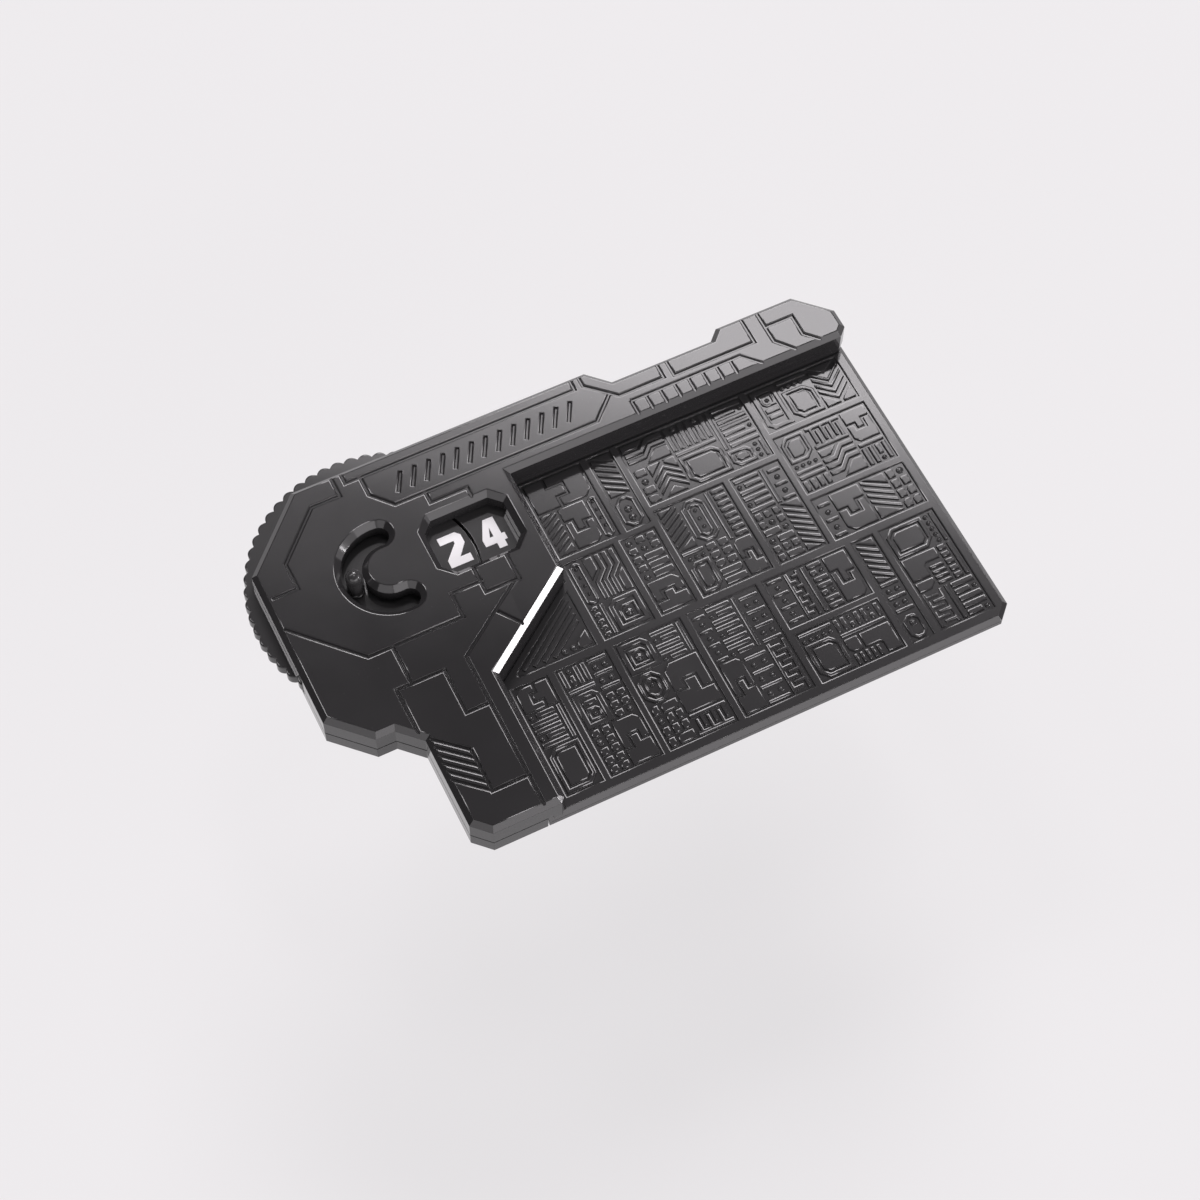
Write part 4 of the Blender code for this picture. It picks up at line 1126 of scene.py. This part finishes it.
NUMERALS: dict[int, list[list[tuple[float, float]]]] = {
    0: [[(.2, 0), (.8, 0), (1, .13), (1, .87), (.8, 1), (.2, 1), (0, .87), (0, .13)],
        [(.38, .22), (.62, .22), (.62, .78), (.38, .78)]],
    1: [[(.36, 0), (.76, 0), (.76, 1), (.42, 1), (.1, .84), (.1, .6), (.36, .7)]],
    2: [[(0, 0), (1, 0), (1, .24), (.56, .24), (1, .6), (1, .87), (.8, 1), (0, 1), (0, .76),
         (.6, .76), (.6, .68), (0, .26)]],
    3: [[(0, 0), (.8, 0), (1, .13), (1, .4), (.88, .5), (1, .6), (1, .87), (.8, 1), (0, 1),
         (0, .76), (.6, .76), (.6, .61), (.22, .61), (.22, .39), (.6, .39), (.6, .24), (0, .24)]],
    4: [[(.5, 0), (.86, 0), (.86, .2), (1, .2), (1, .42), (.86, .42), (.86, 1), (.4, 1), (0, .42),
         (0, .19), (.5, .19)], [(.34, .42), (.5, .42), (.5, .72)]],
    5: [[(0, 0), (.8, 0), (1, .13), (1, .5), (.8, .63), (.38, .63), (.38, .77), (.96, .77),
         (.96, 1), (0, 1), (0, .4), (.62, .4), (.62, .24), (0, .24)]],
    6: [[(.2, 0), (.8, 0), (1, .13), (1, .5), (.8, .63), (.38, .63), (.38, .77), (.92, .77),
         (.92, 1), (.2, 1), (0, .87), (0, .13)], [(.38, .22), (.62, .22), (.62, .42), (.38, .42)]],
    7: [[(.14, 0), (.56, 0), (1, .76), (1, 1), (0, 1), (0, .76), (.56, .76)]],
    8: [[(.2, 0), (.8, 0), (1, .13), (1, .4), (.9, .5), (1, .6), (1, .87), (.8, 1), (.2, 1),
         (0, .87), (0, .6), (.1, .5), (0, .4), (0, .13)],
        [(.38, .21), (.62, .21), (.62, .4), (.38, .4)], [(.38, .6), (.62, .6), (.62, .79), (.38, .79)]],
    9: [[(.2, 1), (0, .87), (0, .5), (.2, .37), (.62, .37), (.62, .23), (.08, .23), (.08, 0),
         (.8, 0), (1, .13), (1, .87), (.8, 1)], [(.38, .58), (.62, .58), (.62, .78), (.38, .78)]],
}


@dataclass(frozen=True)
class NumeralRing:
    """The printed numerals of one dial.

    Args:
        name: the object's name.
        body: the CAD body that they ride on.
        radius: from the dial's axis to the middle of each numeral.
        step_deg: the clockwise angle from one numeral to the next.
        count: how many numerals there are.
        shown: the numeral in the window at rest.
        size: a numeral's width and height.
        rise: how far the paint stands over the dial.
        sunk: how far it reaches into the dial.
        edge: width of the slope round its top.
    """

    name: str
    body: str
    radius: float
    step_deg: float
    count: int
    shown: int
    size: tuple[float, float] = (5.7, 8.8)
    rise: float = 0.05
    sunk: float = 0.07
    edge: float = 0.03

    def numeral(self, digit: int) -> Surface:
        """Build one numeral: its outline and holes at three heights, closed by flat faces.

        Args:
            digit: which numeral.

        Returns:
            Its closed skin.
        """
        angle = math.radians(-(digit - self.shown) * self.step_deg)
        turn = np.array(((math.cos(angle), math.sin(angle)), (-math.sin(angle), math.cos(angle))))
        levels = ((0.0, -self.sunk), (0.0, self.rise - self.edge), (self.edge, self.rise))
        walls: list[Surface] = []
        tops: list[np.ndarray] = []
        drop: list[int] = []
        for k, loop in enumerate(NUMERALS[digit]):
            plan = anticlockwise((np.array(loop, float) - 0.5) * self.size)
            plan = plan[::-1] if k else plan
            skin = ring_stack([raised((moved_in(plan, way) + (self.radius, 0)) @ turn + DIAL_AXIS,
                                      WHEEL_TOP + z) for way, z in levels])
            walls.append(Surface(skin.points, skin.faces[:1]))
            count = len(plan)
            tops.append(3 * len(drop) + 2 * count + np.arange(count))
            drop += [2 * count] * count
        whole = joined(walls)
        index = np.concatenate(tops)
        flat = np.array(tessellate_polygon([[Vector(point) for point in whole.points[top]]
                                            for top in tops]))
        a, b, c = (whole.points[index[flat[:, k]], :2] for k in range(3))
        ahead = (b - a)[:, 0] * (c - a)[:, 1] - (b - a)[:, 1] * (c - a)[:, 0] > 0
        flat = np.where(ahead[:, None], flat, flat[:, ::-1])
        return Surface(whole.points, whole.faces + [index[flat], (index - drop)[flat][:, ::-1]])

    def build(self) -> None:
        """Build all the numerals as one object."""
        surface = joined([self.numeral(digit) for digit in range(self.count)])
        carry(new_object(self.name, surface, PAINT_FINISH.material()), self.body, "dial_black")


@dataclass
class Dials:
    """The ones wheel with its scalloped rim, the tens disc, its thumb peg and the numerals.

    Args:
        rim: radius of the wheel's lobes.
        lobes: how many lobes there are.
        lobe_points: how many points lie round each.
        valley: how deep the valleys between them are.
        lobe_turn_deg: from the numerals to the nearest crest.
        lobe_foot: how far in from the rim the lobes have faded out.
        wheel_low: height of the wheel's underside.
        web_top: height of the wheel's thin web.
        bore: radius of the wheel's bore.
        well: radius of the well that the tens disc lies in.
        disc: radius of the tens disc.
        disc_low: height of its underside.
        disc_bore: radius of its bore.
        wheel_soft: how much the corners of the wheel's profile are rounded.
        disc_soft: how much those of the disc's are.
        peg_orbit: from the dial's axis to the peg's.
        peg_radius: radius of the peg.
        peg_stem: radius of the stem below the collar.
        peg_gap: from the disc up to the collar.
        ones: the ones numerals.
        tens: the tens numerals.
    """

    rim: float = 34.6
    lobes: int = 60
    lobe_points: int = 12
    valley: float = 1.0
    lobe_turn_deg: float = -1.0
    lobe_foot: float = 4.0
    wheel_low: float = 2.8
    web_top: float = 3.7
    bore: float = 5.3
    well: float = 21.45
    disc: float = 20.75
    disc_low: float = 4.5
    disc_bore: float = 2.8
    wheel_soft: Sequence[float] = (0.15, 0.45, 0.45, 0.12, 0.25, 0.15)
    disc_soft: Sequence[float] = (0.15, 0.2, 0.12, 0.15)
    peg_orbit: float = 9.1
    peg_radius: float = 2.0
    peg_stem: float = 1.2
    peg_gap: float = 0.3
    ones: NumeralRing = NumeralRing("ones_numerals", ONES_DIAL, 26.0, 36.0, 10, 4)
    tens: NumeralRing = NumeralRing("tens_numerals", TENS_DIAL, 16.4, -48.0, 5, 2)

    def wheel(self) -> Surface:
        """Build the ones wheel.

        A lobe's radius falls from the rim by the valley's depth times the square of the way
        from its crest, and that fall fades out from the rim to the lobe's foot, so all rings
        share one set of angles.

        Returns:
            The closed ring.
        """
        turn = np.arange(self.lobes * self.lobe_points) / self.lobe_points
        fall = self.valley * (2 * np.abs(turn - np.round(turn))) ** 2
        angle = np.radians(360 * turn / self.lobes + self.lobe_turn_deg)
        way = np.column_stack((np.cos(angle), np.sin(angle)))
        low, top, web = self.wheel_low, WHEEL_TOP, self.web_top
        corners = [(self.bore, low), (self.rim, low), (self.rim, top), (self.well, top),
                   (self.well, web), (self.bore, web)]
        rings = []
        for radius, z in rounded(corners, self.wheel_soft, runs=5):
            share = np.clip((radius - self.rim + self.lobe_foot) / self.lobe_foot, 0, 1)
            reach = radius - fall * share ** 2
            rings.append(raised(DIAL_AXIS + reach[:, None] * way, z))
        return ring_stack(rings, closed=True)

    def tens_disc(self) -> Surface:
        """Build the tens disc: a flat ring with rounded edges."""
        low, top = self.disc_low, WHEEL_TOP
        corners = [(self.disc_bore, low), (self.disc, low), (self.disc, top), (self.disc_bore, top)]
        return turned(rounded(corners, self.disc_soft, runs=4), 240, DIAL_AXIS, closed=True)

    def peg(self) -> Surface:
        """Build the thumb peg: a stem, a collar, a waisted post and a dome.

        The dome's rings follow a quarter circle from the post's radius to the apex.

        Returns:
            Its closed skin.
        """
        low, apex = (corner[2] for corner in box_mm("thumb_peg"))
        seat, r = WHEEL_TOP + self.peg_gap, self.peg_radius
        profile = [(self.peg_stem, low), (self.peg_stem, seat), (r + 0.15, seat), (r + 0.2, seat + 0.1),
                   (r + 0.2, seat + 0.3), (r + 0.1, seat + 0.4), (r - 0.05, seat + 0.6),
                   (r - 0.08, apex - r - 0.9), (r - 0.02, apex - r - 0.3)]
        profile += [(r * math.cos(a), apex - r + r * math.sin(a))
                    for a in np.radians(np.linspace(0, 88, 12))]
        return turned(profile, 40, DIAL_AXIS - (self.peg_orbit, 0))

    def build(self) -> None:
        """Build the dials."""
        for node, surface, body in (("ones_wheel", self.wheel(), ONES_DIAL),
                                    ("tens_disc", self.tens_disc(), TENS_DIAL),
                                    ("thumb_peg", self.peg(), TENS_DIAL)):
            stand_in(node, surface, DIAL_FINISH.material(), body, "dial_black")
        self.ones.build()
        self.tens.build()


# Small parts

@dataclass
class Screws:
    """The thread-forming screws that come in from below.

    Args:
        head: radius of the head.
        shank: radius over the thread.
        pitch: from one turn of the thread to the next.
        pitch_rings: how many rings lie in one turn.
        thread: how deep the thread is.
        span: where the thread starts over the head's face and ends under the tip.
        crown: how much higher the rim of the head's face is than its middle.
        arm: half the width of the drive's arms, and how wide their slope is.
        drive: how far the drive reaches, and how wide the slope at its end is.
        depth: the drive's depth, before it grows towards the middle.
        around: how many points lie round each ring.
        face: radii of the rings on the head's face.
        side: radius and height of the rings round the head's side, down to the shank.
        point: radius of the rings at the tip, and their height from it.
    """

    head: float = 1.9
    shank: float = 1.0
    pitch: float = 0.6
    pitch_rings: int = 6
    thread: float = 0.24
    span: tuple[float, float] = (1.05, 0.25)
    crown: float = 0.1
    arm: tuple[float, float] = (0.24, 0.08)
    drive: tuple[float, float] = (1.0, 0.2)
    depth: float = 0.5
    around: int = 32
    face: Sequence[float] = (0.02, 0.12, 0.2, 0.28, 0.36, 0.5, 0.62, 0.74, 0.86, 1.0, 1.3, 1.6)
    side: Pairs = ((1.78, 0.12), (1.87, 0.2), (1.9, 0.32), (1.9, 0.8), (1.84, 0.9), (0.85, 0.9))
    point: Pairs = ((0.66, -0.1), (0.3, 0.0))

    def shape(self, node: str) -> Surface:
        """Build a screw in a CAD node's place.

        The drive is a cross: the face sinks where the smaller of the two distances from the
        cross's arms is under half an arm. The thread's radius rises and falls with the
        height over the pitch less the angle over a full turn.

        Args:
            node: the CAD node.

        Returns:
            Its closed skin.
        """
        lo, hi = box_mm(node)
        centre, low, tip = (lo[:2] + hi[:2]) / 2, lo[2], hi[2]
        unit = circle(1.0, self.around)
        rings = []
        for radius in self.face:
            plan = unit * radius
            cross = (np.clip((self.arm[0] - np.abs(plan).min(1)) / self.arm[1], 0, 1)
                     * np.clip((self.drive[0] - radius) / self.drive[1], 0, 1))
            crown = self.crown * (radius / self.head) ** 2
            rings.append(raised(plan + centre, low + crown + self.depth * cross * (1.15 - 0.5 * radius)))
        rings += [raised(unit * radius + centre, low + z) for radius, z in self.side]
        turn = np.arange(self.around) / self.around
        for z in np.arange(low + self.span[0], tip - self.span[1], self.pitch / self.pitch_rings):
            wave = np.abs(np.mod(z / self.pitch - turn, 1.0) - 0.5) * 2
            reach = self.shank - self.thread * np.clip(1.25 * wave, 0, 1)
            rings.append(raised(unit * reach[:, None] + centre, z))
        rings += [raised(unit * radius + centre, tip + z) for radius, z in self.point]
        return ring_stack(rings)


@dataclass
class GripFeet:
    """The round rubber feet.

    Args:
        groove: depth of the ring groove in each foot's sole.
        inner: the groove's inner radius.
        outer: the groove's outer radius.
        slope: width of the groove's slanted sides.
    """

    groove: float = 0.18
    inner: float = 1.5
    outer: float = 2.5
    slope: float = 0.25

    def shape(self, node: str) -> Surface:
        """Build a foot in a CAD node's place, with a rounded sole and a ring groove in it.

        Args:
            node: the CAD node.

        Returns:
            Its closed skin.
        """
        lo, hi = box_mm(node)
        radius, low, top = (hi[0] - lo[0]) / 2, lo[2], hi[2]
        g, a, b, s = self.groove, self.inner, self.outer, self.slope
        profile = [(0.05, low), (a, low), (a + 0.48 * s, low + 0.5 * g), (a + s, low + g),
                   (b - s, low + g), (b - 0.48 * s, low + 0.5 * g), (b, low),
                   (radius - 0.3, low), (radius - 0.09, low + 0.08), (radius, low + 0.3),
                   (radius, top - 0.06), (radius - 0.06, top)]
        return turned(profile, 48, (lo[:2] + hi[:2]) / 2)


@dataclass
class SmallParts:
    """The screws and feet, and the CAD nodes inside the housing that keep their shapes.

    Args:
        shaped: what each kind of node's name holds, its shape, finish and slot.
        finishes: the finish of each node that keeps its shape.
    """

    shaped: Sequence[tuple[str, Screws | GripFeet, MouldedPlastic | Metal, str]] = (
        ("screw", Screws(), SCREW_FINISH, "screw_steel"),
        ("grip_foot", GripFeet(), RUBBER_FINISH, "foot_rubber"))
    finishes: Sequence[tuple[str, MouldedPlastic | Metal]] = (
        ("dial_axle", AXLE_FINISH), ("wheel_washer", WASHER_FINISH), ("disc_washer", WASHER_FINISH),
        ("retaining_clip", SPRING_FINISH), ("ones_click_spring", SPRING_FINISH),
        ("tens_click_spring", SPRING_FINISH))

    def build(self) -> None:
        """Build every screw and foot and dress every inner node."""
        for word, kind, finish, slot in self.shaped:
            for node in sorted(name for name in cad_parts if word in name):
                stand_in(node, kind.shape(node), finish.material(), HOUSING, slot)
        for node, finish in self.finishes:
            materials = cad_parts[node].data.materials
            materials.clear()
            materials.append(finish.material())
            LOG.info("%s dressed in %s", node, finish.name)


# The studio

@dataclass(frozen=True)
class Softbox:
    """A far soft light, told by where it stands in the sky.

    Args:
        name: its name.
        azimuth: from +X towards +Y, in degrees.
        elevation: over the horizon, in degrees.
        width: how wide it looks, in degrees.
        height: how high it looks, in degrees.
        radiance: how bright its face is.
        distance: how far away it hangs, in metres.
        tint: its colour.
    """

    name: str
    azimuth: float
    elevation: float
    width: float
    height: float
    radiance: float
    distance: float = 6.0
    tint: Triple = (1.0, 0.965, 0.99)

    def build(self) -> None:
        """Hang the light, facing the pad."""
        light = bpy.data.lights.new(self.name, "AREA")
        light.shape = "RECTANGLE"
        light.size, light.size_y = (2 * self.distance * math.tan(math.radians(angle / 2))
                                    for angle in (self.width, self.height))
        light.energy = self.radiance * math.pi * light.size * light.size_y
        light.color = self.tint
        obj = bpy.data.objects.new(self.name, light)
        az, el = math.radians(self.azimuth), math.radians(self.elevation)
        away = Vector((math.cos(az) * math.cos(el), math.sin(az) * math.cos(el), math.sin(el)))
        obj.location = away * self.distance
        obj.rotation_euler = away.to_track_quat("Z", "Y").to_euler()
        obj.visible_camera = False
        bpy.context.scene.collection.objects.link(obj)


@dataclass
class Studio:
    """The floor, the sky, the lights and the camera.

    Args:
        sky: the sky's brightness on the pad.
        sky_tint: its colour there.
        backdrop: its brightness as the camera sees it.
        floor: the floor's colour.
        evenness: how much of the backdrop's plain tone the floor shows where it is seen.
        floor_size: the floor's width.
        floor_drop: how far it lies under the pad.
        lights: the soft lights.
        lens: the camera's sensor width and focal length.
        camera_place: where the camera stands, in metres.
        camera_axes: the camera's right, up and back.
    """

    sky: float = 0.05
    sky_tint: Triple = (0.99, 0.98, 1.0)
    backdrop: Triple = (0.88, 0.862, 0.877)
    floor: Triple = (0.76, 0.75, 0.757)
    evenness: float = 0.75
    floor_size: float = 9000.0
    floor_drop: float = 90.0
    lights: Sequence[Softbox] = (
        Softbox("key_softbox", 57.0, 52.4, 32.0, 8.0, 9.6),
        Softbox("edge_softbox", 62.0, 40.0, 22.0, 15.0, 12.5),
        Softbox("key_falloff", 60.0, 57.3, 26.0, 2.0, 3.6),
        Softbox("key_far_falloff", 62.0, 59.7, 24.0, 2.8, 0.6),
        Softbox("top_strip", 14.0, 77.3, 14.0, 8.0, 9.0),
        Softbox("left_high", 108.0, 62.4, 13.0, 9.0, 9.0),
        Softbox("left_softbox", 135.0, 48.0, 12.0, 10.0, 5.0),
        Softbox("edge_light", -28.8, 14.2, 13.0, 8.0, 32.0),
        Softbox("front_right", -30.0, 21.0, 44.0, 28.0, 1.3),
        Softbox("front_middle", -80.0, 22.0, 46.0, 28.0, 2.8),
        Softbox("front_left", -135.0, 22.0, 46.0, 28.0, 1.5))
    lens: tuple[float, float] = (36.0, 80.49)
    camera_place: Triple = (-0.14112, -0.28124, 0.5505)
    camera_axes: tuple[Triple, Triple, Triple] = (
        (0.89721104, -0.44159628, 0.00225389), (0.38450802, 0.78371196, 0.48780032),
        (-0.21717721, -0.43679319, 0.87295233))

    def build_floor(self) -> None:
        """Lay the floor: one-sided, so that the pad can be seen from below."""
        material, graph, shader, place = new_material("studio_floor")
        tint = graph.blend(graph.noise(place, 3.0, 3.0), rgba(self.floor, 0.985), rgba(self.floor, 1.015))
        graph.feed(shader, {"Base Color": tint, "Roughness": 0.9, "Specular IOR Level": 0.1})
        rays = graph.add("LightPath").outputs
        seen = graph.math("MAXIMUM", rays["Is Camera Ray"], rays["Is Glossy Ray"])
        plain = graph.add("Emission", {"Color": rgba(self.backdrop), "Strength": 1.0})
        lit = graph.mix(graph.math("MULTIPLY", seen, self.evenness), shader, plain)
        side = graph.add("NewGeometry").outputs["Backfacing"]
        mix = graph.mix(side, lit, graph.add("BsdfTransparent"))
        graph.feed(graph.tree.nodes["Material Output"], {"Surface": mix.outputs[0]})
        s = self.floor_size / 2
        surface = Surface(raised(box_plan(-s, -s, s, s), -self.floor_drop), [np.array([[0, 1, 2, 3]])])
        floor = new_object("studio_floor", surface, material)
        floor.modifiers.clear()
        floor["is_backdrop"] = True

    def build_sky(self) -> None:
        """Set an even sky that the camera sees as the pale backdrop."""
        world = bpy.data.worlds.new("studio_sky")
        world.use_nodes = True
        bpy.context.scene.world = world
        graph, nodes = Graph(world.node_tree), world.node_tree.nodes
        light = graph.feed(nodes["Background"], {"Color": rgba(self.sky_tint), "Strength": self.sky})
        seen = graph.add("Background", {"Color": rgba(self.backdrop), "Strength": 1.0})
        mix = graph.mix(graph.add("LightPath").outputs["Is Camera Ray"], light, seen)
        graph.feed(nodes["World Output"], {"Surface": mix.outputs[0]})

    def build_camera(self) -> None:
        """Place the camera at the photograph's viewing angle."""
        data = bpy.data.cameras.new("pad_camera")
        data.sensor_width, data.lens = self.lens
        camera = bpy.data.objects.new("pad_camera", data)
        turn = Matrix(self.camera_axes).transposed().to_4x4()
        camera.matrix_world = Matrix.Translation(self.camera_place) @ turn
        bpy.context.scene.collection.objects.link(camera)
        bpy.context.scene.camera = camera

    def build(self) -> None:
        """Build the studio."""
        self.build_floor()
        self.build_sky()
        self.build_camera()
        for light in self.lights:
            light.build()
        bpy.context.scene.view_settings.view_transform = "Standard"
        LOG.info("studio with %d lights", len(self.lights))


def write_sizes() -> None:
    """Work out the CAD model's box and the dressed model's box, as plain lists of numbers."""
    boxes = {"cad": CAD_BOX, "visual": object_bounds()}
    plain = {name: [[float(v) for v in corner] for corner in box] for name, box in boxes.items()}


def main() -> None:
    """Build the pad and its studio."""
    logging.basicConfig(level=logging.INFO, format="%(message)s")
    for part in (Studio(), Housing(), CardTray(), Dials(), SmallParts()):
        part.build()
    write_sizes()


if __name__ == "__main__":
    main()
